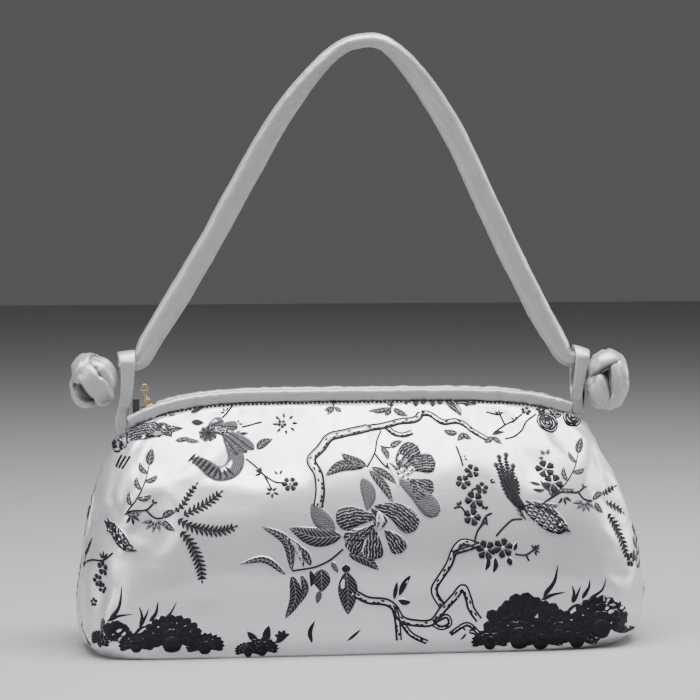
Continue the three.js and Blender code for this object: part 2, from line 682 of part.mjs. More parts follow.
add('front_panel', bodyPanel(-1), brocade);
add('back_panel', bodyPanel(1), brocade);
add('base_panel', basePanel(), brocade);
add('front_binding', binding(-1), satin);
add('back_binding', binding(1), satin);
add('zip_tape', zipTape(), tapeCloth);
add('zip_chain', zipChain(), brass);
add('zip_slider', zipSlider(), brass);
add('zip_pull', zipPull(), brass);
add('left_loop', endLoop(loopLeft), satin);
add('right_loop', endLoop(loopRight), satin);
add('strap', strap(), satin);
add('left_knot', knot(-1, leftKnotStrands, leftKnotWidth, leftKnotHeight, leftKnotDrop), satin);
add('right_knot', knot(1, rightKnotStrands, rightKnotWidth, rightKnotHeight, rightKnotDrop), satin);

export default group;
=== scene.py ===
import math
import random
from collections import namedtuple

import bmesh
import bpy
import numpy as np
from mathutils import Matrix, Vector, geometry, noise
from mathutils.bvhtree import BVHTree


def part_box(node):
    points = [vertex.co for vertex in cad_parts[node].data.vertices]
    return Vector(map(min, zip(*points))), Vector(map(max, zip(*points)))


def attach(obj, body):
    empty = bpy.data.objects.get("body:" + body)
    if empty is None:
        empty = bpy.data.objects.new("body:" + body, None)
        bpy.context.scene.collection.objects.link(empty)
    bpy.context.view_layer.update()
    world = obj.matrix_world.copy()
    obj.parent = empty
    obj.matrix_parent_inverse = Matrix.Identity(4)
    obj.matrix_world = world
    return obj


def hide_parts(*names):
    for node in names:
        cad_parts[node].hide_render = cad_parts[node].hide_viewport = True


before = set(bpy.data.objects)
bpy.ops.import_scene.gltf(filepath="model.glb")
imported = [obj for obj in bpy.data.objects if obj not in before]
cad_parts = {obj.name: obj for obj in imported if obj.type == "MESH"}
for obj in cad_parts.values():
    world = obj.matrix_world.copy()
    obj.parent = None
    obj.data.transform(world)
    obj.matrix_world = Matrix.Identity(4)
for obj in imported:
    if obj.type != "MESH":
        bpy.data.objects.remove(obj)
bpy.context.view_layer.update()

MM = 0.001

# Camera. It stands to the left of the middle, a little above the mouth, and also tells where on
# the cloth a place of the picture lies, because the woven figures are laid out by their places there.
CAMERA_PLACE = Vector((-0.1565, -1.1903, 0.215))
CAMERA_TARGET = Vector((-0.004, 0, 0.1328))
CAMERA_LENS = 136.7
camera_data = bpy.data.cameras.new("camera")
camera_data.lens = CAMERA_LENS
camera_data.clip_start = 0.05
camera = bpy.data.objects.new("camera", camera_data)
camera.location = CAMERA_PLACE
camera.rotation_euler = (CAMERA_TARGET - CAMERA_PLACE).to_track_quat("-Z", "Y").to_euler()
bpy.context.scene.collection.objects.link(camera)
bpy.context.scene.camera = camera


def sight(across, down):
    """Direction from the camera to a place of the 700-wide picture."""
    turn = (CAMERA_TARGET - CAMERA_PLACE).to_track_quat("-Z", "Y")
    reach = CAMERA_LENS / 36 * 700
    return turn @ Vector(((across - 350) / reach, (350 - down) / reach, -1))


# Front and back panels. Each is one piece of padded satin brocade, from the side seam in the
# middle of one gusset round the face to the other, sewn to the base below and bound at the mouth.
# They are drawn as a smooth loft through a few sections, then relaxed as cloth between their seams.
BODY_WIDTH = 259 * MM
BODY_DEPTH = 86 * MM
WALL = 2.5 * MM
RIM_WIDTH = 215.9 * MM
RIM_DEPTH = 16 * MM
RIM_HEIGHT = 115.8 * MM
RIM_DROP_LEFT = 15.5 * MM
RIM_DROP_RIGHT = 10.5 * MM
RIM_SHIFT = -3.05 * MM
RIM_BEND = 5
BINDING_HEIGHT = 5.5 * MM
BINDING_THICKNESS = 4 * MM
BINDING_PROUD = 0.8 * MM
GAP = 0.3 * MM
GUSSET_POWER = 2.4
CORNER_ACROSS = 0.94
CORNER_COLUMN = 0.765
PANEL_COLUMNS = 170
PANEL_ROWS = 64

Section = namedtuple("Section", "rise left right swell crisp_left crisp_right")
SECTIONS = [
    Section(0.00, 0.54, 0.52, 0.82, 16, 7),
    Section(0.06, 0.80, 0.88, 0.94, 13, 8),
    Section(0.18, 0.90, 1.02, 1.00, 10, 8),
    Section(0.36, 0.80, 1.01, 0.97, 9, 8),
    Section(0.55, 0.64, 0.85, 0.86, 9, 8),
    Section(0.72, 0.47, 0.56, 0.64, 10, 9),
    Section(0.87, 0.24, 0.28, 0.35, 13, 12),
    Section(1.00, 0.00, 0.00, 0.00, 20, 20),
]

# side: -1 front, 1 back; across: share of the half-width; rise: share of the height; sunk: metres
Dent = namedtuple("Dent", "side across rise sunk wide tall")
DENTS = [
    Dent(-1, -0.95, 0.64, 2.6 * MM, 0.06, 0.07),
    Dent(-1, -0.88, 0.55, 1.5 * MM, 0.08, 0.04),
    Dent(-1, -0.86, 0.76, 1.4 * MM, 0.03, 0.12),
    Dent(-1, 0.62, 0.86, 1.2 * MM, 0.18, 0.10),
    Dent(-1, -0.30, 0.90, 0.9 * MM, 0.22, 0.08),
    Dent(1, 0.90, 0.60, 2.0 * MM, 0.07, 0.08),
    Dent(1, -0.55, 0.84, 1.2 * MM, 0.18, 0.10),
    Dent(1, 0.20, 0.88, 0.9 * MM, 0.22, 0.08),
]


def smooth_row(rows, at):
    """A row read between the rows of a table whose first column is its place, on a smooth curve."""
    table = np.array(rows, float)
    place = table[:, 0]
    i = int(np.clip(np.searchsorted(place, at) - 1, 0, len(place) - 2))
    span = place[i + 1] - place[i]
    share = (at - place[i]) / span

    def slope(a, b):
        a, b = max(a, 0), min(b, len(place) - 1)
        return (table[b] - table[a]) / (place[b] - place[a]) * span

    m1, m2 = slope(i - 1, i + 1), slope(i, i + 2)
    s2, s3 = share ** 2, share ** 3
    return ((2 * s3 - 3 * s2 + 1) * table[i] + (s3 - 2 * s2 + share) * m1
            + (3 * s2 - 2 * s3) * table[i + 1] + (s3 - s2) * m2)


def rim_drop(share):
    return RIM_DROP_LEFT if share < 0 else RIM_DROP_RIGHT


def rim_fall(share):
    return rim_drop(share) * abs(share) ** RIM_BEND


def rim_slope(share):
    return math.copysign(rim_drop(share) * RIM_BEND * abs(share) ** (RIM_BEND - 1) / (RIM_WIDTH / 2), share)


def panel_top(share):
    return RIM_HEIGHT - rim_fall(share) - (BINDING_HEIGHT + GAP) * math.hypot(1, rim_slope(share))


def plan_at(rise):
    row = Section(*smooth_row(SECTIONS, rise))
    flare = (BODY_WIDTH - RIM_WIDTH) / 2
    depth = (RIM_DEPTH - 2 * BINDING_PROUD) * (1 - row.swell) + BODY_DEPTH * row.swell
    return row, RIM_WIDTH / 2 + flare * row.left, RIM_WIDTH / 2 + flare * row.right, depth / 2


def cloth_point(side, column, rise, plan):
    """A point of a panel: column -1 is the left side seam and 1 the right one, rise 0 the base."""
    row, left, right, depth = plan
    crisp = row.crisp_left if column < 0 else row.crisp_right
    half = left if column < 0 else right
    corner = (1 - CORNER_ACROSS ** crisp) ** (1 / GUSSET_POWER)
    reach = abs(column)
    across = reach / CORNER_COLUMN * CORNER_ACROSS
    out = (1 - min(across, 1) ** crisp) ** (1 / GUSSET_POWER)
    if reach > CORNER_COLUMN:
        out = corner * (1 - reach) / (1 - CORNER_COLUMN)
        across = (1 - out ** GUSSET_POWER) ** (1 / crisp)
    share = math.copysign(across, column)
    point = Vector((RIM_SHIFT * rise + share * half, side * (depth * out + GAP / 2), rise * panel_top(share)))
    return point, share


def dent_depth(side, share, rise):
    return sum(d.sunk * math.exp(-((share - d.across) / d.wide) ** 2 - ((rise - d.rise) / d.tall) ** 2)
               for d in DENTS if d.side == side)


def new_piece(name, bm, body, materials):
    """Turns a bmesh into a finished piece that rides on a body."""
    mesh = bpy.data.meshes.new(name)
    bm.to_mesh(mesh)
    bm.free()
    piece = bpy.data.objects.new(name, mesh)
    bpy.context.scene.collection.objects.link(piece)
    for material in materials:
        mesh.materials.append(material)
    mesh.shade_smooth()
    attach(piece, body)
    return piece


def panel_cloth(side):
    """The outer skin of one panel as a grid, with each vertex's place on the flat cloth."""
    bm = bmesh.new()
    bmesh.ops.create_grid(bm, x_segments=PANEL_COLUMNS, y_segments=PANEL_ROWS, size=1)
    bm.verts.ensure_lookup_table()
    rows = {}
    for vert in bm.verts:
        rows.setdefault(round(vert.co.y, 5), []).append(vert)
    rows = [sorted(rows[key], key=lambda v: v.co.x) for key in sorted(rows)]
    share_of = {}
    for row in rows:
        rise = ((row[0].co.y + 1) / 2) ** 1.15
        plan = plan_at(rise)
        for vert in row:
            vert.co, share = cloth_point(side, vert.co.x, rise, plan)
            share_of[vert.index] = (share, rise)
    bm.normal_update()
    outward = 1 if sum(f.normal.y for f in bm.faces) * side > 0 else -1
    if outward < 0:
        bmesh.ops.reverse_faces(bm, faces=bm.faces)
        bm.normal_update()
    flat = np.zeros((len(bm.verts), 2))
    middle = len(rows[0]) // 2
    heights = np.zeros(len(rows[0]))
    for r, row in enumerate(rows):
        steps = [0] + [(b.co - a.co).length for a, b in zip(row, row[1:])]
        reach = np.cumsum(steps)
        if r:
            heights += [(a.co - b.co).length for a, b in zip(rows[r - 1], row)]
        for c, vert in enumerate(row):
            flat[vert.index] = (reach[c] - reach[middle], heights[c])
    for vert in bm.verts:
        share, rise = share_of[vert.index]
        vert.co -= vert.normal * dent_depth(side, share, rise)
    return bm, flat


class Value:
    """A shader socket, or a plain number, that sums can be written with."""

    def __init__(self, tree, socket):
        self.tree = tree
        self.socket = socket

    def sum(self, operation, other, swap=False):
        node = self.tree.nodes.new("ShaderNodeMath")
        node.operation = operation
        for entry, value in zip(node.inputs, (other, self) if swap else (self, other)):
            plug(self.tree, entry, value)
        return Value(self.tree, node.outputs[0])

    def __add__(self, other):
        return self.sum("ADD", other)

    def __radd__(self, other):
        return self.sum("ADD", other)

    def __sub__(self, other):
        return self.sum("SUBTRACT", other)

    def __rsub__(self, other):
        return self.sum("SUBTRACT", other, swap=True)

    def __mul__(self, other):
        return self.sum("MULTIPLY", other)

    def __rmul__(self, other):
        return self.sum("MULTIPLY", other)

    def __gt__(self, other):
        return self.sum("GREATER_THAN", other)

    def __lt__(self, other):
        return self.sum("LESS_THAN", other)


def plug(tree, entry, value):
    """Sets a socket to a plain value or links another socket to it."""
    if isinstance(value, Value):
        tree.links.new(value.socket, entry)
    else:
        entry.default_value = value


class Finish:
    """One material. add() makes any node from its type, its settings and its sockets' values."""

    def __init__(self, name):
        self.material = bpy.data.materials.new(name)
        self.material.use_nodes = True
        self.tree = self.material.node_tree
        self.tree.nodes.clear()

    def add(self, kind, settings=None, sockets=None, output=0):
        node = self.tree.nodes.new(kind)
        for key, value in (settings or {}).items():
            if key == "stops":
                ramp = node.color_ramp
                while len(ramp.elements) < len(value):
                    ramp.elements.new(0.5)
                for element, (place, colour) in zip(ramp.elements, value):
                    element.position = place
                    element.color = colour
            else:
                setattr(node, key, value)
        for key, value in (sockets or {}).items():
            plug(self.tree, node.inputs[key], value)
        return Value(self.tree, node.outputs[output]) if node.outputs else None

    def wave(self, value, pitch):
        """A smooth up-and-down of -1 to 1 along a value, one wave each pitch."""
        turned = value * (2 * math.pi / pitch)
        return turned.sum("SINE", 0)

    def noise(self, vector, scale, detail=2.0, roughness=0.5):
        return self.add("ShaderNodeTexNoise", None,
                        {"Vector": vector, "Scale": scale, "Detail": detail, "Roughness": roughness}, "Fac")

    def mix(self, share, low, high):
        node = self.tree.nodes.new("ShaderNodeMix")
        node.data_type = "RGBA"
        plug(self.tree, node.inputs["Factor"], share)
        for key, colour in ((6, low), (7, high)):
            plug(self.tree, node.inputs[key], colour)
        return Value(self.tree, node.outputs[2])

    def surface(self, sockets, bumps=()):
        """The Principled surface. bumps are (height, strength, distance), one over another."""
        normal = None
        for height, strength, distance in bumps:
            entries = {"Height": height, "Strength": strength, "Distance": distance}
            if normal is not None:
                entries["Normal"] = normal
            normal = self.add("ShaderNodeBump", None, entries)
        if normal is not None:
            sockets = {**sockets, "Normal": normal}
        shader = self.add("ShaderNodeBsdfPrincipled", None, sockets)
        self.add("ShaderNodeOutputMaterial", None, {"Surface": shader})
        return self.material


def cloth_axes(finish):
    """Width and height on the cloth, in millimetres, from the piece's own map."""
    cloth = finish.add("ShaderNodeUVMap", {"uv_map": "cloth"})
    across = finish.add("ShaderNodeSeparateXYZ", None, {"Vector": cloth}, "X")
    up = finish.add("ShaderNodeSeparateXYZ", None, {"Vector": cloth}, "Y")
    return cloth, across, up


GROUND_LIGHT = (0.74, 0.73, 0.76, 1)
GROUND_SHADE = (0.62, 0.61, 0.645, 1)


def satin_ground():
    """Silver-white satin: long floats along the cloth, faint slubs and uneven lustre."""
    f = Finish("brocade ground")
    cloth, across, up = cloth_axes(f)
    slub = f.noise(f.add("ShaderNodeMapping", None, {"Vector": cloth, "Scale": (0.05, 1.1, 1)}), 1.0, 3.0)
    bloom = f.noise(cloth, 0.045, 2.0)
    floats = f.wave(up + across * 0.35, 0.42)
    ends = f.wave(across, 0.30)
    colour = f.mix(slub * 0.6 + bloom * 0.4, GROUND_SHADE, GROUND_LIGHT)
    rough = 0.30 + slub * 0.14
    return f.surface(
        {"Base Color": colour, "Roughness": rough, "Metallic": 0.62, "Anisotropic": 0.35,
         "Sheen Weight": 0.15, "Sheen Roughness": 0.4, "Specular IOR Level": 0.6},
        [(bloom, 0.25, 1.2 * MM), (slub, 0.25, 0.12 * MM), (floats * ends, 0.30, 0.03 * MM)])


RELAX_FRAMES = 16
RELAX_GROWTH = 0.012
RELAX_PRESSURE = 0.45
RELAX_CAP = 1.8 * MM


def relax(piece):
    """Lets a panel settle as filled cloth held at its seams, and keeps the moves small."""
    mesh = piece.data
    rest = np.zeros(len(mesh.vertices) * 3)
    mesh.vertices.foreach_get("co", rest)
    rest = rest.reshape(-1, 3)
    edge_use = np.zeros(len(mesh.edges), int)
    for polygon in mesh.polygons:
        for key in polygon.loop_indices:
            edge_use[mesh.loops[key].edge_index] += 1
    rim = {v for edge in mesh.edges if edge_use[edge.index] == 1 for v in edge.vertices}
    held = piece.vertex_groups.new(name="held")
    held.add(sorted(rim), 1.0, "REPLACE")
    cloth = piece.modifiers.new("relax", "CLOTH")
    settings = cloth.settings
    settings.quality = 6
    settings.mass = 0.25
    settings.tension_stiffness = settings.compression_stiffness = 12
    settings.shear_stiffness = 4
    settings.bending_stiffness = 0.4
    settings.vertex_group_mass = "held"
    settings.shrink_min = -RELAX_GROWTH
    settings.use_pressure = True
    settings.uniform_pressure_force = RELAX_PRESSURE
    settings.effector_weights.gravity = 0
    cloth.collision_settings.use_collision = False
    cloth.point_cache.frame_start = 1
    cloth.point_cache.frame_end = RELAX_FRAMES
    for step in range(1, RELAX_FRAMES + 1):
        bpy.context.scene.frame_set(step)
    settled = piece.evaluated_get(bpy.context.evaluated_depsgraph_get()).to_mesh()
    moved = np.zeros(len(settled.vertices) * 3)
    settled.vertices.foreach_get("co", moved)
    move = moved.reshape(-1, 3) - rest
    far = np.linalg.norm(move, axis=1, keepdims=True)
    move *= RELAX_CAP * np.tanh(far / RELAX_CAP) / np.maximum(far, 1e-9)
    piece.modifiers.remove(cloth)
    piece.vertex_groups.remove(held)
    mesh.vertices.foreach_set("co", (rest + move).ravel())
    mesh.update()
    bpy.context.scene.frame_set(1)


ground = satin_ground()
skins = {}
for side, name in ((-1, "front_panel"), (1, "back_panel")):
    bm, flat = panel_cloth(side)
    cloth_map = bm.loops.layers.uv.new("cloth")
    for face in bm.faces:
        for loop in face.loops:
            loop[cloth_map].uv = flat[loop.vert.index] / MM
    piece = new_piece(name + "_cloth", bm, "bag", [ground])
    skins[side] = (piece, flat)
    relax(piece)
    thick = piece.modifiers.new("wall", "SOLIDIFY")
    thick.thickness = WALL
    thick.offset = -1
    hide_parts(name)

# Woven figures. The brocade carries flowers, leaves, birds and a branch in charcoal thread that lies
# a little above the satin ground. Each is a strip drawn on the flat cloth, then laid on the panel.
FLOAT_LIFT = 0.16 * MM
LAYER_STEP = 0.07 * MM
HALO = 0.32
DARK, PETAL, LEAF, GREY, PALE = range(5)
THREAD_DARK = (0.007, 0.007, 0.009, 1)
THREAD_GREY = (0.028, 0.028, 0.032, 1)
THREAD_LIGHT = (0.40, 0.40, 0.43, 1)


def woven(name, ground_colour, line_colour, lines):
    """Charcoal weft floats. lines(finish, along, across, wander) tells where light threads show."""
    f = Finish(name)
    cloth, along, across = cloth_axes(f)
    wander = f.noise(cloth, 0.9, 2.0)
    grain = f.noise(cloth, 5.0, 1.0)
    shown = lines(f, along, across, wander)
    colour = f.mix(shown, f.mix(grain, ground_colour, tuple(1.7 * c for c in ground_colour[:3]) + (1,)),
                   line_colour)
    return f.surface({"Base Color": colour, "Roughness": 0.6, "Specular IOR Level": 0.2},
                     [(f.wave(along, 0.30) * f.wave(across, 0.30), 0.35, 0.03 * MM)])


def petal_lines(f, along, across, wander):
    """Light threads that run up a petal, fanned and a little uneven, broken by short gaps."""
    lines = f.wave(across + wander * 1.6 + f.wave(along, 5.0) * 0.12, 1.35) > 0.84
    return lines * (f.noise(f.add("ShaderNodeUVMap", {"uv_map": "cloth"}), 0.55, 1.0) < 0.60) * 0.8


def leaf_lines(f, along, across, wander):
    """A light midrib with side veins that slant forward from it."""
    reach = across.sum("ABSOLUTE", 0)
    veins = f.wave(along - reach * 1.2 + wander * 1.2, 2.0) > 0.90
    midrib = reach < 0.09
    return veins.sum("MAXIMUM", midrib) * 0.6


def hatch_lines(f, along, across, wander):
    return (f.wave(along + across + wander * 1.2, 1.1) > 0.62) * 0.42


def bare_lines(f, along, across, wander):
    return (wander > 0.68) * 0.15


threads = [woven("thread dark", THREAD_DARK, THREAD_LIGHT, bare_lines),
           woven("thread petal", THREAD_DARK, THREAD_LIGHT, petal_lines),
           woven("thread leaf", THREAD_DARK, THREAD_LIGHT, leaf_lines),
           woven("thread grey", THREAD_GREY, THREAD_LIGHT, hatch_lines),
           ground]


def cloth_triangles(side):
    """The corners of each half-cell of a panel's skin."""
    mesh = skins[side][0].data
    corners = []
    for polygon in mesh.polygons:
        a, b, c, d = polygon.vertices
        corners += [(a, b, c), (a, c, d)]
    return corners


class Cloth:
    """A panel's skin, both as it stands and laid flat, to change places between the two."""

    def __init__(self, side):
        piece, flat = skins[side]
        self.corners = cloth_triangles(side)
        self.skin = [v.co.copy() for v in piece.data.vertices]
        self.normals = [v.normal.copy() for v in piece.data.vertices]
        self.flat = [Vector((s / MM, h / MM, 0)) for s, h in flat]
        self.skin_tree = BVHTree.FromPolygons(self.skin, self.corners)
        self.flat_tree = BVHTree.FromPolygons(self.flat, self.corners)

        tallest = max(place.y for place in self.flat)
        self.edge = np.array([place[:2] for place in self.flat if place.y > 0.8 * tallest])

    def top_at(self, across):
        """Height of the panel's upper edge on the flat cloth."""
        near = np.abs(self.edge[:, 0] - across) < 2.5
        return self.edge[near, 1].max() if near.any() else self.edge[:, 1].min()

    def seen(self, across, down):
        """The flat place, in millimetres, under a place of the picture."""
        way = sight(across, down)
        hit, _, index, _ = self.skin_tree.ray_cast(CAMERA_PLACE, way)
        if hit is None:
            hit, _, index, _ = self.skin_tree.find_nearest(CAMERA_PLACE + way * 1.21)
        a, b, c = self.corners[index]
        place = geometry.barycentric_transform(hit, self.skin[a], self.skin[b], self.skin[c],
                                               self.flat[a], self.flat[b], self.flat[c])
        return np.array(place[:2])

    def stand(self, place, lift):
        """The standing place over a flat one, and whether it lies off the cloth."""
        hit, _, index, far = self.flat_tree.find_nearest(Vector((place[0], place[1], 0)))
        a, b, c = self.corners[index]
        corners = (self.flat[a], self.flat[b], self.flat[c])
        point = geometry.barycentric_transform(hit, *corners, self.skin[a], self.skin[b], self.skin[c])
        normal = geometry.barycentric_transform(hit, *corners, *(self.normals[i] for i in (a, b, c)))
        return point + normal.normalized() * lift, far > 0.05


# Creases the filled cloth has at its corners, over the smooth loft: places of the picture, how far
# sunk and how wide in millimetres. Negative is a ridge.
Crease = namedtuple("Crease", "sunk wide places")
CREASES = [
    Crease(1.3, 2.4, (128, 462, 126, 482, 123, 500)), Crease(-0.9, 3.0, (135, 446, 131, 490, 121, 550)),
    Crease(1.1, 1.8, (112, 503, 117, 515, 127, 520)), Crease(-0.7, 2.0, (110, 510, 116, 523, 127, 528)),
    Crease(1.1, 3.0, (118, 470, 112, 492, 108, 500)), Crease(0.8, 2.0, (104, 590, 101, 615, 98, 645)),
    Crease(-0.9, 2.6, (112, 570, 108, 610, 105, 645)), Crease(0.6, 3.0, (117, 590, 115, 620, 118, 645)),
    Crease(0.8, 9.0, (170, 560, 215, 600, 240, 640)), Crease(0.6, 11.0, (330, 590, 420, 580, 500, 600)),
    Crease(0.8, 8.0, (560, 545, 590, 575, 600, 600)), Crease(-0.6, 6.0, (612, 470, 622, 530, 630, 590)),
    Crease(0.7, 2.2, (596, 455, 606, 490, 612, 520)), Crease(0.5, 6.0, (150, 470, 200, 500, 250, 500)),
]
PUCKER = 0.22 * MM
PUCKER_PITCH = 6.5
PUCKER_DEEP = 9.0


def crease_front():
    cloth = Cloth(-1)
    piece, flat = skins[-1]
    places = flat / MM
    sunk = np.zeros(len(places))
    for crease in CREASES:
        route = np.array([cloth.seen(*crease.places[i:i + 2]) for i in range(0, len(crease.places), 2)])
        near = np.full(len(places), 1e9)
        for a, b in zip(route, route[1:]):
            along = np.clip((places - a) @ (b - a) / max((b - a) @ (b - a), 1e-6), 0, 1)
            near = np.minimum(near, np.linalg.norm(places - a - along[:, None] * (b - a), axis=1))
        sunk += crease.sunk * MM * np.exp(-(near / crease.wide) ** 2)
    top = places[:, 1].max()
    below = np.exp(-(top - places[:, 1]) / PUCKER_DEEP)
    sunk += PUCKER * below * np.sin(places[:, 0] * 2 * math.pi / PUCKER_PITCH + np.sin(places[:, 0] * 0.13) * 3)
    for vert in piece.data.vertices:
        edge = min(1, places[vert.index][1] / 5, (top - places[vert.index][1]) / 3)
        vert.co -= cloth.normals[vert.index] * sunk[vert.index] * max(edge, 0)
    piece.data.update()


crease_front()
front = Cloth(-1)
figures = bmesh.new()
thread_map = figures.loops.layers.uv.new("cloth")


def reach_of(route):
    return sum(np.linalg.norm(np.subtract(b, a)) for a, b in zip(route, route[1:]))


def smooth_route(points, steps):
    """Points and sideways directions at even shares of a smooth line through flat points."""
    points = np.array(points, float)
    points = points[np.concatenate([[True], np.linalg.norm(np.diff(points, axis=0), axis=1) > 0.05])]
    reach = np.concatenate([[0], np.cumsum(np.linalg.norm(np.diff(points, axis=0), axis=1))])
    rows = np.column_stack([reach, points])
    places = np.array([smooth_row(rows, reach[-1] * i / steps)[1:] for i in range(steps + 1)])
    ways = np.gradient(places, axis=0)
    ways /= np.maximum(np.linalg.norm(ways, axis=1, keepdims=True), 1e-9)
    return places, np.column_stack([ways[:, 1], -ways[:, 0]]), reach[-1]


SHORTEST = 0.5


def leaf_form(share):
    return max(math.sin(math.pi * share ** 0.85), 0) ** 0.8


def petal_form(share):
    return share ** 0.7 * max(1 - share ** 5, 0) ** 0.5 * 1.25


def lobe_form(share):
    return max(1 - (2 * share - 1) ** 2, 0) ** 0.5


def blade_form(share):
    return min(6 * share, 1) * max(1 - share, 0) ** 0.7


def line_form(share):
    return 1.0


def strip(route, width, form, kind, layer=0, across=2, shift=0.0):
    """One woven strip: a route on the flat cloth, its full width and the form of its width."""
    length = reach_of(route)
    if length < SHORTEST:
        return
    steps = int(np.clip(length / 1.1, 4, 60))
    places, sides, reach = smooth_route(route, steps)
    made = bmesh.ops.create_grid(figures, x_segments=across, y_segments=steps, size=0.5)["verts"]
    for face in {face for vert in made for face in vert.link_faces}:
        face.material_index = kind
        for loop in face.loops:
            at = loop.vert.co
            half = form(at.y + 0.5) * width / 2
            loop[thread_map].uv = ((at.y + 0.5) * reach, 2 * at.x * half)
    for vert in made:
        row = round((vert.co.y + 0.5) * steps)
        half = form(row / steps) * width / 2
        place = places[row] + sides[row] * (2 * vert.co.x * half + shift)
        vert.co = (place[0], place[1], layer)


def bowed(base, tip, bow):
    """A line from base to tip, bowed sideways by a share of its length."""
    base, tip = np.array(base), np.array(tip)
    way = tip - base
    middle = (base + tip) / 2 + np.array([-way[1], way[0]]) * bow
    return [base, middle, tip]


def leaf(base, tip, width, bow=0.0, kind=LEAF, form=leaf_form, layer=1, halo=HALO):
    """A leaf or petal with a light edge of ground showing round it."""
    route = bowed(base, tip, bow)
    strip(route, width + 2 * halo, form, PALE, layer - 1)
    strip(route, width, form, kind, layer, across=4)


def blossom(centre, radius, petals, turn=0.0, kind=DARK, heart=0.28):
    """A small open flower: short round petals round a light heart with a dark dot."""
    centre = np.array(centre)
    for i in range(petals):
        angle = turn + 2 * math.pi * i / petals
        way = np.array([math.cos(angle), math.sin(angle)])
        strip([centre + way * radius * 0.15, centre + way * radius * 0.6, centre + way * radius],
              radius * 4.3 / petals, petal_form, kind, 1)
    if heart:
        spot(centre, radius * heart, PALE, 3)
        spot(centre, radius * heart * 0.4, DARK, 4)


def spot(centre, radius, kind=DARK, layer=1):
    strip([(centre[0] - radius, centre[1]), (centre[0] + radius, centre[1])], 2 * radius, lobe_form,
          kind, layer)


def twig(route, width=0.85, layer=1):
    strip(route, width, line_form, DARK, layer)


def branch(route, width):
    """A bough drawn by two dark outlines with a light wood between and dashes of bark on one side."""
    if reach_of(route) < 4 * width:
        return
    strip(route, width, line_form, PALE, 1)
    strip(route, 0.75, line_form, DARK, 2, shift=-width / 2)
    strip(route, 1.0, line_form, DARK, 2, shift=width / 2)
    places, sides, reach = smooth_route(route, max(int(reach_of(route) / 1.9), 2))
    for i in range(len(places) - 2):
        if i % 4 != 3:
            shift = width * (0.28 if i % 3 else -0.1)
            strip([places[i] + sides[i] * shift, places[i + 1] + sides[i + 1] * shift * 0.8], 0.95,
                  lobe_form, DARK, 2)


def fern(route, leaflet, gap=1.9):
    """A frond: a thin rib with paired leaflets that slant towards its tip."""
    if reach_of(route) < 3 * gap:
        return
    twig(route, 0.6)
    places, sides, reach = smooth_route(route, max(int(reach_of(route) / gap), 3))
    for i in range(len(places) - 1):
        way = places[i + 1] - places[i]
        way /= max(np.linalg.norm(way), 1e-9)
        long = 1.2 * leaflet * (0.6 + 0.4 * math.sin(math.pi * (i + 1) / len(places)))
        for side in (-1, 1):
            tip = places[i] + long * (0.62 * way + 0.78 * side * sides[i])
            strip(bowed(places[i], tip, 0.12 * side), 1.25, leaf_form, DARK, 1)
    strip([places[-1], places[-1] + (places[-1] - places[-2])], 0.9, leaf_form, DARK, 1)


def on_front(points):
    """Places of the picture as flat places; points is a flat row of across, down pairs."""
    return [front.seen(points[i], points[i + 1]) for i in range(0, len(points), 2)]


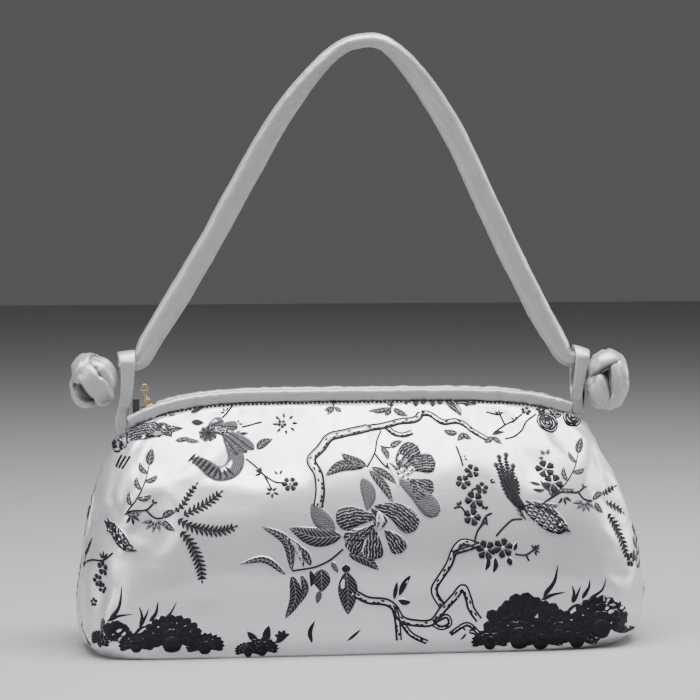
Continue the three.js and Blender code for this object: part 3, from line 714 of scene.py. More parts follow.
# Places are given in the 700-wide picture, widths in millimetres on the cloth.
Figure = namedtuple("Figure", "kind width bow places")
LEAVES = [
    # hanging leaves and sepals round the fork above the two large flowers
    Figure(LEAF, 4.6, 0.10, (367, 466, 341, 453)), Figure(LEAF, 4.8, -0.16, (365, 467, 325, 476)),
    Figure(GREY, 5.8, 0.12, (362, 478, 367, 511)), Figure(LEAF, 3.8, 0.06, (369, 470, 393, 503)),
    Figure(LEAF, 3.0, 0.08, (371, 467, 396, 484)), Figure(LEAF, 2.4, 0.1, (390, 448, 403, 441)),
    Figure(LEAF, 2.4, 0.1, (381, 447, 388, 460)), Figure(LEAF, 2.6, -0.1, (386, 463, 399, 470)),
    # the spray below the lower flower
    Figure(GREY, 7.0, 0.08, (335, 531, 311, 503)), Figure(LEAF, 7.2, 0.10, (342, 536, 289, 528)),
    Figure(LEAF, 3.8, -0.22, (292, 571, 261, 526)), Figure(LEAF, 2.6, -0.20, (286, 575, 239, 564)),
    Figure(PALE, 2.0, -0.12, (304, 570, 283, 534)), Figure(DARK, 0.8, -0.20, (304, 570, 283, 534)),
    Figure(DARK, 0.8, -0.05, (305, 570, 283, 534)), Figure(LEAF, 3.0, -0.08, (311, 566, 296, 545)),
    Figure(LEAF, 4.6, 0.16, (292, 575, 285, 619)), Figure(LEAF, 2.8, 0.16, (301, 574, 299, 605)),
    Figure(DARK, 2.2, 0.1, (310, 570, 311, 587)), Figure(LEAF, 6.8, 0.0, (321, 568, 322, 592)),
    Figure(GREY, 2.4, 0.0, (320, 590, 317, 604)), Figure(GREY, 2.2, 0.0, (331, 561, 338, 573)),
    Figure(DARK, 3.4, 0.0, (346, 564, 346, 574)), Figure(LEAF, 7.6, 0.02, (346, 571, 348, 615)),
    Figure(LEAF, 4.8, 0.10, (348, 554, 379, 570)),
    # leaves along the lower branch and under the rim
    Figure(DARK, 1.7, 0.0, (394, 600, 397, 581)), Figure(DARK, 2.4, 0.05, (399, 596, 411, 575)),
    Figure(DARK, 2.2, -0.1, (398, 600, 411, 602)), Figure(LEAF, 1.8, 0.0, (334, 407, 324, 411)),
    Figure(LEAF, 1.8, 0.0, (334, 407, 327, 415)), Figure(LEAF, 1.8, 0.0, (334, 407, 342, 412)),
    Figure(LEAF, 2.2, 0.05, (391, 408, 368, 411)), Figure(LEAF, 2.2, 0.0, (391, 409, 385, 416)),
    Figure(LEAF, 2.6, -0.1, (393, 408, 408, 416)), Figure(LEAF, 2.2, 0.0, (394, 406, 386, 402)),
    Figure(PETAL, 4.0, 0.1, (447, 402, 461, 416)), Figure(PETAL, 3.4, 0.1, (455, 401, 476, 405)),
    Figure(LEAF, 2.2, 0.1, (492, 436, 484, 443)), Figure(LEAF, 2.4, -0.1, (493, 436, 502, 444)),
    Figure(DARK, 1.6, 0.1, (492, 435, 505, 432)), Figure(LEAF, 2.2, 0.1, (463, 432, 457, 441)),
    Figure(LEAF, 2.4, -0.2, (463, 432, 472, 439)), Figure(LEAF, 2.6, 0.1, (458, 433, 443, 430)),
    # top left: the striped leaf, the small ones round it and the clump by the loop
    Figure(PETAL, 7.4, 0.10, (145, 420, 184, 428)), Figure(PETAL, 5.6, 0.18, (146, 424, 160, 438)),
    Figure(PETAL, 5.2, 0.10, (156, 424, 172, 437)), Figure(DARK, 3.0, 0.12, (126, 424, 152, 419)),
    Figure(DARK, 3.4, 0.2, (124, 446, 138, 425)), Figure(DARK, 5.0, -0.1, (113, 449, 128, 432)),
    Figure(DARK, 4.4, 0.1, (112, 440, 126, 436)), Figure(DARK, 2.0, 0.0, (114, 452, 131, 441)),
    Figure(LEAF, 2.0, 0.0, (175, 441, 191, 438)), Figure(LEAF, 1.8, 0.0, (184, 440, 200, 442)),
    Figure(LEAF, 1.6, 0.0, (158, 416, 168, 414)), Figure(LEAF, 1.6, 0.0, (168, 414, 176, 415)),
    Figure(DARK, 2.6, 0.0, (191, 422, 204, 423)), Figure(LEAF, 3.4, 0.12, (257, 450, 273, 439)),
    Figure(DARK, 1.6, 0.0, (190, 413, 202, 406)),
    # dark leaves of the fern spray and its mirror at the right
    Figure(LEAF, 2.8, 0.10, (162, 518, 177, 511)), Figure(LEAF, 2.8, -0.06, (163, 520, 175, 531)),
    Figure(LEAF, 2.6, 0.10, (592, 500, 603, 493)), Figure(LEAF, 2.6, -0.06, (594, 502, 603, 513)),
    # leaves at the hem, dark also as painted shade along the hem
    Figure(DARK, 3.2, 0.05, (266, 643, 269, 625)), Figure(DARK, 2.8, 0.0, (258, 643, 247, 631)),
    Figure(DARK, 1.8, 0.15, (312, 643, 315, 620)), Figure(DARK, 1.2, 0.0, (347, 641, 361, 629)),
    Figure(DARK, 2.6, 0.1, (276, 643, 288, 635)), Figure(DARK, 3.0, 0.0, (612, 630, 635, 627)),
    Figure(LEAF, 3.4, 0.05, (92, 646, 82, 621)),
    # leaves that hang under the low blossoms, and buds beside the tall spray
    Figure(DARK, 1.8, 0.1, (488, 556, 485, 571)), Figure(DARK, 2.0, 0.1, (495, 557, 493, 573)),
    Figure(DARK, 1.6, 0.0, (514, 551, 517, 542)), Figure(DARK, 2.4, 0.0, (508, 557, 511, 566)),
    Figure(LEAF, 1.5, 0.0, (545, 455, 540, 450)), Figure(LEAF, 1.5, 0.0, (547, 455, 549, 449)),
    Figure(LEAF, 1.4, 0.0, (544, 458, 538, 458)), Figure(DARK, 1.6, 0.1, (552, 492, 540, 480)),
    Figure(DARK, 1.5, 0.1, (545, 490, 532, 489)), Figure(DARK, 1.4, 0.0, (541, 485, 529, 482)),
]
for row in LEAVES:
    base, tip = on_front(row.places)
    leaf(base, tip, row.width * 1.15, row.bow, row.kind)

TWIGS = [
    (343, 549, 330, 560, 315, 567, 292, 571), (381, 431, 377, 440, 375, 452, 370, 462, 367, 467),
    (380, 446, 390, 448), (375, 454, 384, 465, 402, 476), (505, 439, 515, 436, 522, 430, 526, 422, 536, 414),
    (495, 432, 505, 425, 515, 420, 522, 414), (505, 425, 501, 417, 499, 412), (486, 412, 499, 415),
    (246, 459, 255, 466, 264, 475, 275, 482, 285, 483), (264, 475, 272, 490), (242, 427, 262, 422),
    (222, 418, 228, 412, 232, 406), (125, 515, 132, 511, 146, 510, 153, 504), (146, 510, 155, 518, 163, 518),
    (456, 446, 460, 456, 463, 466), (463, 482, 471, 471), (474, 500, 472, 490, 482, 488),
    (472, 517, 474, 500), (454, 508, 461, 507, 466, 514), (480, 527, 486, 516, 492, 513), (486, 516, 487, 525),
    (515, 554, 525, 555, 532, 551, 539, 545), (526, 555, 529, 561), (553, 493, 561, 492, 578, 492, 584, 487),
    (578, 492, 584, 499, 592, 501), (530, 516, 545, 502, 561, 492), (522, 519, 512, 520, 504, 527, 496, 536),
    (474, 543, 478, 530, 486, 521), (333, 402, 334, 408), (391, 403, 391, 409),
    (116, 467, 122, 455), (119, 468, 126, 456), (122, 469, 130, 456), (85, 564, 92, 560, 104, 560, 113, 553),
]
for row in TWIGS:
    twig(on_front(row))

BRANCHES = [
    (3.6, (318, 507, 320, 490, 318, 474, 311, 460, 321, 448, 330, 437, 349, 432, 368, 428)),
    (2.6, (368, 428, 386, 425, 402, 421, 416, 419, 421, 413)),
    (1.8, (386, 426, 394, 433, 403, 435, 412, 432)),
    (2.2, (421, 413, 430, 414, 443, 422, 455, 421, 464, 424, 473, 431, 487, 439)),
    (2.6, (356, 594, 368, 600, 386, 602, 394, 607, 402, 619, 417, 623, 432, 622, 442, 610, 455, 596)),
    (2.0, (394, 607, 397, 618, 399, 640)), (1.6, (402, 622, 411, 634, 427, 642)),
    (2.6, (455, 596, 463, 587, 469, 600, 471, 608, 479, 620)),
    (2.4, (442, 606, 434, 591, 440, 578, 449, 564, 455, 549, 463, 542, 478, 545)),
    (1.4, (452, 553, 466, 549, 480, 544)), (1.4, (450, 634, 467, 624, 479, 633)),
    (1.4, (433, 622, 447, 616, 450, 624, 441, 628, 433, 624)),
]
for width, row in BRANCHES:
    branch(on_front(row), width)

FERNS = [
    (2.0, (176, 511, 183, 505, 188, 496, 196, 485)), (3.0, (184, 515, 198, 508, 209, 502, 220, 493)),
    (3.2, (178, 520, 192, 527, 206, 530, 222, 531, 234, 527)),
    (3.2, (181, 532, 190, 542, 197, 557, 201, 570, 202, 580)), (2.0, (603, 494, 609, 490, 614, 487)),
    (2.6, (606, 502, 614, 506, 622, 512)), (3.2, (608, 514, 616, 527, 622, 540, 627, 557)),
    (2.4, (84, 566, 86, 553, 92, 540)),
]
for leaflet, row in FERNS:
    fern(on_front(row), leaflet)

BLOSSOMS = [
    (290, 484, 3.4, 6, True), (472, 471, 3.2, 5, False), (463, 482, 3.2, 5, False), (482, 488, 2.7, 5, False),
    (474, 500, 3.9, 5, False), (472, 517, 3.7, 5, False), (545, 469, 4.2, 5, False), (553, 483, 4.3, 5, False),
    (486, 550, 4.2, 6, False), (503, 548, 4.2, 6, False), (526, 411, 2.3, 5, True), (541, 410, 2.2, 5, False),
    (282, 424, 2.0, 5, True), (103, 568, 3.2, 5, False), (98, 580, 2.6, 5, False), (103, 588, 2.2, 5, False),
    (94, 602, 1.8, 5, False),
]
for i, (x, y, radius, petals, open_heart) in enumerate(BLOSSOMS):
    blossom(front.seen(x, y), radius * 1.12, petals, 0.5 * i, heart=0.34 if open_heart else 0.16)

# Tufts: leaves or buds all round a place, given with their number, first and last direction.
Tuft = namedtuple("Tuft", "x y number start end inner outer width kind")
TUFTS = [
    Tuft(285, 424, 9, 0, 360, 3.0, 5.8, 1.2, DARK), Tuft(272, 492, 5, 130, 400, 0.6, 3.2, 1.2, DARK),
    Tuft(279, 476, 2, 60, 120, 0.8, 3.6, 1.2, DARK), Tuft(155, 519, 5, 195, 320, 1.0, 6.2, 1.5, LEAF),
    Tuft(131, 515, 3, 235, 325, 0.8, 4.4, 1.3, DARK), Tuft(153, 504, 2, 20, 80, 0.2, 2.4, 1.0, DARK),
    Tuft(584, 500, 5, 195, 320, 1.0, 6.0, 1.5, LEAF), Tuft(563, 496, 3, 235, 325, 0.8, 4.4, 1.3, DARK),
    Tuft(583, 488, 2, 20, 80, 0.2, 2.4, 1.0, DARK), Tuft(104, 560, 3, 50, 130, 0.6, 4.0, 1.2, DARK),
    Tuft(463, 458, 4, 40, 330, 0.6, 2.2, 0.9, DARK), Tuft(534, 550, 5, -70, 110, 0.4, 2.8, 0.9, DARK),
    Tuft(499, 414, 3, 20, 140, 0.3, 2.4, 0.9, DARK), Tuft(515, 420, 3, 60, 220, 0.5, 2.2, 0.9, DARK),
    Tuft(237, 424, 4, 0, 180, 0.6, 2.6, 0.9, DARK), Tuft(226, 412, 3, 60, 180, 0.5, 2.6, 0.9, DARK),
    Tuft(461, 506, 3, 90, 190, 0.5, 2.6, 1.3, DARK), Tuft(484, 510, 2, 40, 100, 0.4, 2.6, 1.5, DARK),
    Tuft(467, 632, 4, 20, 340, 0.6, 5.0, 1.0, DARK), Tuft(489, 484, 2, 20, 50, 1.0, 3.4, 0.9, DARK),
    Tuft(262, 473, 3, 100, 200, 0.5, 3.4, 1.2, DARK), Tuft(282, 637, 4, 20, 160, 0.5, 3.6, 1.8, DARK),
]
for row in TUFTS:
    centre = front.seen(row.x, row.y)
    for i in range(row.number):
        angle = math.radians(row.start + (row.end - row.start) * i / max(row.number - 1, 1))
        way = np.array([math.cos(angle), math.sin(angle)])
        strip(bowed(centre + way * row.inner, centre + way * row.outer, 0.06), row.width, leaf_form,
              row.kind, 1)

# Leaf sprigs: a thin stem with leaves in turn on either side and one at its tip.
SPRIGS = [
    (126, 514, 138, 497, 145, 482, 149, 466), (543, 504, 555, 494, 566, 483, 574, 469, 578, 454),
]


def sprig(route):
    twig(route, 0.6)
    places, sides, _ = smooth_route(route, 6)
    for i in range(6):
        turned = 1 if i % 2 else -1
        way = places[i + 1] - places[i]
        way /= np.linalg.norm(way)
        tip = places[i] + 7.6 * (0.72 * way - 0.62 * turned * sides[i])
        leaf(places[i], tip, 2.5, 0.12 * turned, LEAF)
    leaf(places[6], places[6] + 9.5 * way, 3.6, 0.03, LEAF)


for row in SPRIGS:
    sprig(on_front(row))

# Blades of grass, each from its foot to its tip through one bend.
BLADES = [
    (1.5, (108, 622, 119, 607, 122, 585)), (1.2, (107, 621, 119, 616, 133, 614)),
    (1.3, (140, 628, 142, 617, 139, 606)), (1.2, (139, 628, 145, 618, 149, 608)),
    (1.4, (149, 622, 156, 613, 158, 601)), (1.2, (153, 626, 169, 615, 177, 601)),
    (1.7, (543, 597, 554, 582, 558, 564)), (1.4, (541, 600, 552, 595, 566, 592)),
    (1.4, (572, 603, 574, 594, 572, 585)), (1.2, (573, 603, 577, 595, 581, 586)),
    (1.5, (582, 599, 588, 589, 590, 579)), (1.2, (587, 601, 601, 591, 606, 578)),
    (1.2, (135, 634, 141, 628, 150, 626)), (1.2, (567, 612, 574, 606, 583, 603)),
]
for width, row in BLADES:
    strip(on_front(row), width * 1.5, blade_form, DARK, 1)

# Large flowers: petals from a base to a tip, dark with light threads, over each other in turn.
PETALS = [
    # upper flower
    Figure(GREY, 10.5, 0.06, (397, 480, 437, 516)), Figure(PETAL, 10.5, -0.06, (408, 480, 434, 491)),
    Figure(PETAL, 8.0, -0.05, (410, 484, 425, 496)), Figure(PETAL, 11.5, 0.10, (403, 471, 436, 463)),
    Figure(PETAL, 9.5, 0.12, (399, 470, 418, 446)), Figure(PETAL, 5.0, 0.10, (399, 470, 404, 452)),
    # lower flower
    Figure(PETAL, 9.0, -0.05, (366, 530, 350, 552)), Figure(PETAL, 9.0, 0.05, (384, 530, 402, 553)),
    Figure(PETAL, 10.0, 0.0, (374, 528, 373, 560)), Figure(PETAL, 11.5, -0.08, (376, 518, 336, 522)),
    Figure(PETAL, 7.0, 0.12, (375, 524, 343, 538)), Figure(PETAL, 12.0, 0.12, (374, 506, 416, 530)),
    Figure(PETAL, 7.0, 0.0, (371, 508, 384, 527)),
    # fans at the hem, right then left, dark also as painted shade along the hem
    Figure(DARK, 6.0, 0.05, (512, 632, 483, 624)), Figure(DARK, 6.5, 0.02, (512, 630, 487, 611)),
    Figure(DARK, 6.5, -0.02, (512, 628, 499, 606)), Figure(DARK, 7.0, 0.0, (517, 627, 505, 600)),
    Figure(DARK, 8.0, 0.0, (518, 627, 516, 593)), Figure(DARK, 8.0, 0.0, (520, 627, 528, 592)),
    Figure(DARK, 7.0, 0.0, (522, 628, 539, 597)), Figure(DARK, 6.5, 0.0, (540, 627, 546, 600)),
    Figure(DARK, 6.5, 0.0, (542, 627, 556, 603)), Figure(DARK, 5.0, 0.0, (544, 627, 562, 610)),
    Figure(DARK, 6.0, 0.0, (112, 642, 108, 622)), Figure(DARK, 7.0, 0.0, (114, 642, 118, 620)),
    Figure(DARK, 6.5, 0.0, (116, 642, 126, 624)), Figure(DARK, 5.0, 0.0, (118, 643, 132, 631)),
    Figure(LEAF, 3.6, 0.0, (101, 646, 104, 617)),
]
for row in PETALS:
    base, tip = on_front(row.places)
    leaf(base, tip, row.width, row.bow, row.kind, petal_form, layer=2)

# Hearts of the large flowers: stamens and light gaps.
for x, y in ((403, 471), (407, 474), (411, 470), (407, 479), (402, 477)):
    spot(front.seen(x, y), 1.7, PALE, 4)
    spot(front.seen(x + 1, y), 0.6, DARK, 5)
for base_x, base_y, tip_x, tip_y, width, kind in ((379, 511, 379, 530, 2.6, PALE), (379, 516, 377, 529, 1.3, DARK),
                                                  (388, 463, 399, 488, 1.6, PALE)):
    leaf(*on_front((base_x, base_y, tip_x, tip_y)), width, 0.05, kind, leaf_form, layer=4)

# Peonies at the hem: rings of short dark petals, the outer ones first, massed along the hem also as painted shade.
HEM_PEONIES_AND_SHADE = [(172, 638, 11.0), (601, 621, 12.0), (136, 645, 6.5), (205, 646, 7.0), (100, 640, 5.0), (248, 650, 5.0),
           (262, 648, 6.0), (560, 630, 10.0), (520, 636, 11.0), (490, 641, 7.0), (541, 640, 9.0), (577, 638, 9.0)]
for x, y, radius in HEM_PEONIES_AND_SHADE:
    centre = front.seen(x, y)
    for ring, number in enumerate((13, 9, 5)):
        size = radius * (1 - 0.30 * ring)
        for i in range(number):
            angle = math.pi * (-0.12 + 1.24 * i / (number - 1)) if ring < 2 else math.pi * (0.15 + 0.7 * i / (number - 1))
            way = np.array([1.25 * math.cos(angle), math.sin(angle)])
            base = centre + way * size * 0.15
            leaf(base, centre + way * size, radius * 0.42, 0.0, DARK, petal_form, 2 + ring, 0.2)
    spot(centre - (0, radius * 0.3), radius * 0.4, DARK, 5)

# Small roses at both ends of the mouth: a dark round with light petal edges curled about its heart.
ROSES = [(547, 423, 5.6), (576, 412, 5.6), (557, 406, 3.8), (121, 440, 4.6), (222, 430, 3.0)]
for x, y, radius in ROSES:
    centre = front.seen(x, y)
    spot(centre, radius, DARK, 2)
    for i in range(3):
        for turn in range(3):
            start = math.radians(120 * turn + 50 * i)
            arc = [centre + radius * (0.84 - 0.24 * i) * np.array([math.cos(start + k), math.sin(start + k)])
                   for k in (0, 0.45, 0.9, 1.35, 1.8)]
            strip(arc, 0.30, leaf_form, PALE, 3)
    spot(centre, radius * 0.12, PALE, 4)
for base_x, base_y, tip_x, tip_y in ((549, 410, 562, 414), (552, 407, 566, 408), (535, 410, 546, 409)):
    leaf(*on_front((base_x, base_y, tip_x, tip_y)), 2.8, 0.0, DARK)
for i in range(9):
    x = 402 + 8.5 * i
    leaf(*on_front((x, 400, x + 5, 405 + 2 * (i % 2))), 2.4, 0.1, DARK)


# The row of dark stitches that shows below the binding, drawn dark also as painted shade under the binding's lower
# edge.
for i in range(120):
    s = -112 + 1.87 * i
    x = s * MM / (RIM_WIDTH / 2)
    strip([(s, front.top_at(s) - 0.5), (s + 1.25, front.top_at(s + 1.25) - 0.5)], 0.7, line_form, DARK, 1)


def plumage(spine, widths, rows, kind=DARK):
    """Overlapping short feathers in rows down a body, from its tail to its head."""
    places, sides, reach = smooth_route(spine, rows)
    for i in range(rows):
        wide = np.interp(i / rows, [0, 0.35, 0.7, 1], widths)
        number = max(int(wide / 1.5), 2)
        way = places[i + 1] - places[i]
        way /= np.linalg.norm(way)
        for j in range(number):
            offset = sides[i] * wide * ((j + 0.5 * (i % 2)) / (number - 0.5) - 0.5)
            base = places[i] + offset + way * 2.4
            leaf(base, base - way * 2.6, 1.5, 0.0, kind, petal_form, layer=3)


# Long-tailed bird at the right: a hatched body, lifted tail plumes with eyes, wing bars and beak.
body = on_front((524, 506, 540, 513, 555, 524, 566, 531))
strip(body, 11.5, lobe_form, PALE, 1)
strip(body, 10.6, lobe_form, DARK, 2, across=4)
plumage(body, (5.0, 8.5, 7.0, 3.0), 9)
strip(on_front((562, 528, 571, 532)), 2.4, blade_form, DARK, 4)
spot(front.seen(560, 525), 1.5, DARK, 4)
spot(front.seen(560, 525), 0.6, PALE, 5)
strip(on_front((532, 505, 546, 509, 558, 518, 563, 525)), 1.2, blade_form, DARK, 4)
for tip_x, tip_y in ((499, 459), (505, 457), (512, 468), (497, 467), (508, 476), (501, 480), (517, 480)):
    quill = on_front(((527, 512, (522 + tip_x) / 2 - 2, (512 + tip_y) / 2 + 2, tip_x, tip_y)))
    strip(quill, 2.2, blade_form, DARK, 3)
    fern(quill[1:], 1.6, 1.6)
for x, y in ((499, 457), (506, 455), (496, 465), (513, 466)):
    spot(front.seen(x, y), 1.35, GREY, 4)
    spot(front.seen(x, y), 0.6, DARK, 5)
for i in range(7):
    foot = on_front((512 + 2.4 * i, 496 + 4 * i, 503 + 2.4 * i, 487 + 4.4 * i))
    strip(bowed(foot[0], foot[1], -0.1), 1.0, blade_form, DARK, 3)

# Curled bird at the upper left: a grey hatched body, barred tail, striped wing and a round head.
curl = on_front((224, 436, 232, 447, 236, 460, 230, 471, 218, 474, 206, 466, 192, 458))
strip(curl, 8.4, lobe_form, PALE, 1)
strip(curl, 7.8, lobe_form, GREY, 2, across=4)
bars, bar_sides, _ = smooth_route(curl[2:], 12)
for place, way in zip(bars[3:], bar_sides[3:]):
    strip([place - way * 3.0, place + way * 3.0], 1.3, lobe_form, DARK, 3)
for base_x, base_y, tip_x, tip_y, width in ((222, 434, 247, 453, 5.2), (226, 432, 254, 450, 4.4),
                                            (222, 436, 237, 455, 4.4), (218, 426, 238, 428, 5.4),
                                            (207, 428, 224, 421, 5.6)):
    leaf(*on_front((base_x, base_y, tip_x, tip_y)), width, 0.08, GREY, petal_form, layer=3)
    strip(on_front((base_x, base_y, tip_x, tip_y)), 0.5, line_form, DARK, 4)
for angle in range(0, 360, 40):
    way = np.array([math.cos(math.radians(angle)), math.sin(math.radians(angle))])
    middle = front.seen(208, 434)
    leaf(middle, middle + way * 4.6, 2.6, 0.1, PETAL, petal_form, layer=4)
for tip_x, tip_y in ((249, 433), (245, 437), (240, 431)):
    leaf(*on_front((236, 437, tip_x, tip_y)), 1.6, 0.1, DARK)

# Small diving bird on the left corner.
body = on_front((107, 522, 116, 532, 126, 546, 133, 551))
strip(body, 6.6, lobe_form, PALE, 1)
strip(body, 6.0, lobe_form, DARK, 2, across=4)
plumage(body, (4.0, 5.5, 4.0, 2.0), 7)
strip(on_front((130, 550, 138, 551)), 1.6, blade_form, DARK, 4)
strip(on_front((110, 526, 104, 520)), 2.2, blade_form, DARK, 3)

# What the picture doesn't show, in flat millimetres: the cloth round the right end.
for s, h, lean in ((134, 96, 0.2), (142, 60, -0.3), (150, 24, 0.1), (127, 40, 0.3)):
    route = [np.array([s, h]) + (lean * k * 5, k * 5.5) for k in range(4)]
    sprig(route)
    blossom(route[0] + (-5, 4), 3.4, 5, s, heart=0.2)

flat_figures = bpy.data.meshes.new("figures_flat")
figures.to_mesh(flat_figures)
figures.free()
FIGURE_THICKNESS = 0.16 * MM
for side, name, cloth in ((-1, "front_figures", front), (1, "back_figures", Cloth(1))):
    bm = bmesh.new()
    bm.from_mesh(flat_figures)
    away = set()
    for vert in bm.verts:
        s, h, layer = vert.co
        place, off = cloth.stand((-side * s, h) if side > 0 else (s, h), FLOAT_LIFT + layer * LAYER_STEP)
        vert.co = place
        if off:
            away.add(vert)
    lost = [face for face in bm.faces if all(vert in away for vert in face.verts)]
    bmesh.ops.delete(bm, geom=lost, context="FACES")
    bmesh.ops.dissolve_degenerate(bm, dist=0.01 * MM, edges=bm.edges)
    piece = new_piece(name, bm, "bag", threads)
    thick = piece.modifiers.new("thread", "SOLIDIFY")
    thick.thickness = FIGURE_THICKNESS
    thick.offset = -1
    thick.use_rim = True
bpy.data.meshes.remove(flat_figures)

# Base. A stiffened flat panel of the same brocade, seamed all round into the panels' lower edges.
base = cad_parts["base_panel"]
base.data.materials.clear()
base.data.materials.append(ground)

def laid_grid(columns, rows, place, width, length, closed=True):
    """A strip or tube of cloth. place(around, along) puts each vertex; the cloth map is in mm."""
    bm = bmesh.new()
    bmesh.ops.create_grid(bm, x_segments=columns, y_segments=rows, size=0.5)
    cloth_map = bm.loops.layers.uv.new("cloth")
    for face in bm.faces:
        for loop in face.loops:
            at = loop.vert.co
            loop[cloth_map].uv = ((at.x + 0.5) * width / MM, (at.y + 0.5) * length / MM)
    for vert in bm.verts:
        vert.co = place(vert.co.x + 0.5, vert.co.y + 0.5)
    if closed:
        bmesh.ops.remove_doubles(bm, verts=bm.verts, dist=1e-6)
        bmesh.ops.holes_fill(bm, edges=[edge for edge in bm.edges if edge.is_boundary], sides=0)
    bmesh.ops.recalc_face_normals(bm, faces=bm.faces)
    return bm


def oval(around, half_across, half_out, blunt):
    """A place on a blunt oval: 2 is an ellipse, more is squarer."""
    turn = 2 * math.pi * around
    across, out = math.cos(turn), math.sin(turn)
    return (half_across * math.copysign(abs(across) ** (2 / blunt), across),
            half_out * math.copysign(abs(out) ** (2 / blunt), out))


# Bindings. Two bias strips of plain grey satin folded over the mouth's raw edges, softly padded by
# the layers inside and stitched down along their lower edge, where the brocade gathers a little.
SATIN_LIGHT = (0.46, 0.475, 0.475, 1)
SATIN_SHADE = (0.33, 0.34, 0.345, 1)
# near-black painted shade for the sides of the knots' strands
SATIN_TUCK_PAINTED_SHADE = (0.05, 0.05, 0.055, 1)


def plain_satin(name, painted_shade_round=None):
    """Grey satin. For a strand, give the width round it: its sides then get painted shade, darkened where they
    dive under.
    """
    f = Finish(name)
    cloth, around, along = cloth_axes(f)
    slub = f.noise(f.add("ShaderNodeMapping", None, {"Vector": cloth, "Scale": (1.4, 0.10, 1)}), 1.0, 3.0)
    bloom = f.noise(cloth, 0.10, 2.0)
    colour = f.mix(slub * 0.5 + bloom * 0.5, SATIN_SHADE, SATIN_LIGHT)
    if painted_shade_round:
        # painted shade: a near-black band on each side of the strand, where it dives under its neighbour
        edge = f.wave(around + painted_shade_round * 0.125, painted_shade_round / 2)
        colour = f.mix((edge > 0.55) * (edge - 0.55) * 1.9, colour, SATIN_TUCK_PAINTED_SHADE)
    return f.surface({"Base Color": colour, "Roughness": 0.36 + slub * 0.12, "Metallic": 0.5,
                      "Specular IOR Level": 0.55, "Sheen Weight": 0.2, "Sheen Roughness": 0.4},
                     [(bloom, 0.35, 0.8 * MM), (slub, 0.35, 0.14 * MM),
                      (f.wave(around + along * 0.3, 0.40), 0.20, 0.03 * MM)])


satin = plain_satin("plain satin")
LOOP_WIDTH = 6 * MM
LOOP_SPAN = 206.5 * MM
LOOP_SHIFT = -2.3 * MM
MOUTH_RIGHT = LOOP_SHIFT + LOOP_SPAN / 2 - LOOP_WIDTH / 2 - GAP
BINDING_TUCK = 0.012


def rim_share(x):
    return (x - RIM_SHIFT) / (RIM_WIDTH / 2)


def rim_place(share, depth, below):
    """A place on the mouth's line, and the direction square to it."""
    up = Vector((rim_slope(share), 0, 1)).normalized()
    return Vector((RIM_SHIFT + share * RIM_WIDTH / 2, depth, RIM_HEIGHT - rim_fall(share))) - up * below, up


def binding_out(share):
    row, left, right, depth = plan_at(1)
    return depth * (1 - abs(share) ** row.crisp_left) ** (1 / GUSSET_POWER) + BINDING_PROUD


def binding_cloth(side):
    ends = rim_share(LOOP_SHIFT - LOOP_SPAN / 2), rim_share(MOUTH_RIGHT)
    length = (ends[1] - ends[0]) * RIM_WIDTH / 2

    def place(around, along):
        share = 0.5 + 0.5 * math.sin((along - 0.5) * math.pi * 0.96) / math.sin(0.48 * math.pi)
        share = ends[0] + (ends[1] - ends[0]) * share
        end = min(1, (1 - abs(2 * along - 1)) / BINDING_TUCK)
        end = 0.55 + 0.45 * math.sqrt(max(1 - (1 - end) ** 2, 0))
        middle, up = rim_place(share, side * (binding_out(share) - BINDING_THICKNESS / 2), BINDING_HEIGHT / 2)
        out, rise = oval(around, BINDING_THICKNESS / 2, BINDING_HEIGHT / 2, 2.6)
        where = Vector((share * RIM_WIDTH / 2 / MM, 0, 0))
        ripple = noise.noise(Vector((where.x * 0.35, rise * 150, side))) * 0.30
        ripple += noise.noise(Vector((where.x * 0.10, out * 150, 5 + side))) * 0.16
        stitched = max(0, -rise / (BINDING_HEIGHT / 2)) ** 3 * 0.16 * math.sin(where.x * 2.1)
        lean = 1 + (ripple + stitched) * MM / (BINDING_THICKNESS / 2)
        return middle + Vector((0, side * out * lean * end, 0)) + up * rise * lean * end

    return laid_grid(24, 260, place, 14 * MM, length)


for side, name in ((-1, "front_binding"), (1, "back_binding")):
    piece = new_piece(name + "_satin", binding_cloth(side), "bag", [satin])
    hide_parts(name)

# Zip. Closed coil of brass teeth on a dark woven tape, let into the mouth below the bindings. Its
# folded end stands up beside the left loop, next to the slider with its small eyed pull.
TAPE_SINK = 3.4 * MM
CHAIN_WIDTH = 4 * MM
CHAIN_HEIGHT = 1.8 * MM
CHAIN_REACH = 186 * MM
TOOTH_PITCH = 1.5 * MM


def woven_tape():
    f = Finish("zip tape cloth")
    place = f.add("ShaderNodeTexCoord", None, None, "Object")
    across = f.add("ShaderNodeSeparateXYZ", None, {"Vector": place}, "Y")
    along = f.add("ShaderNodeSeparateXYZ", None, {"Vector": place}, "X")
    weave = f.wave(along + across, 0.7 * MM) * f.wave(along - across, 0.7 * MM)
    return f.surface({"Base Color": (0.045, 0.040, 0.038, 1), "Roughness": 0.8, "Sheen Weight": 0.2},
                     [(weave, 0.4, 0.05 * MM)])


def old_brass():
    f = Finish("antique brass")
    place = f.add("ShaderNodeTexCoord", None, None, "Object")
    worn = f.noise(place, 420, 3.0)
    colour = f.mix(worn, (0.50, 0.38, 0.20, 1), (0.72, 0.60, 0.40, 1))
    return f.surface({"Base Color": colour, "Roughness": 0.26 + worn * 0.2, "Metallic": 1.0})


tape = woven_tape()
brass = old_brass()
tape_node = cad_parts["zip_tape"]
tape_node.data.materials.clear()
tape_node.data.materials.append(tape)

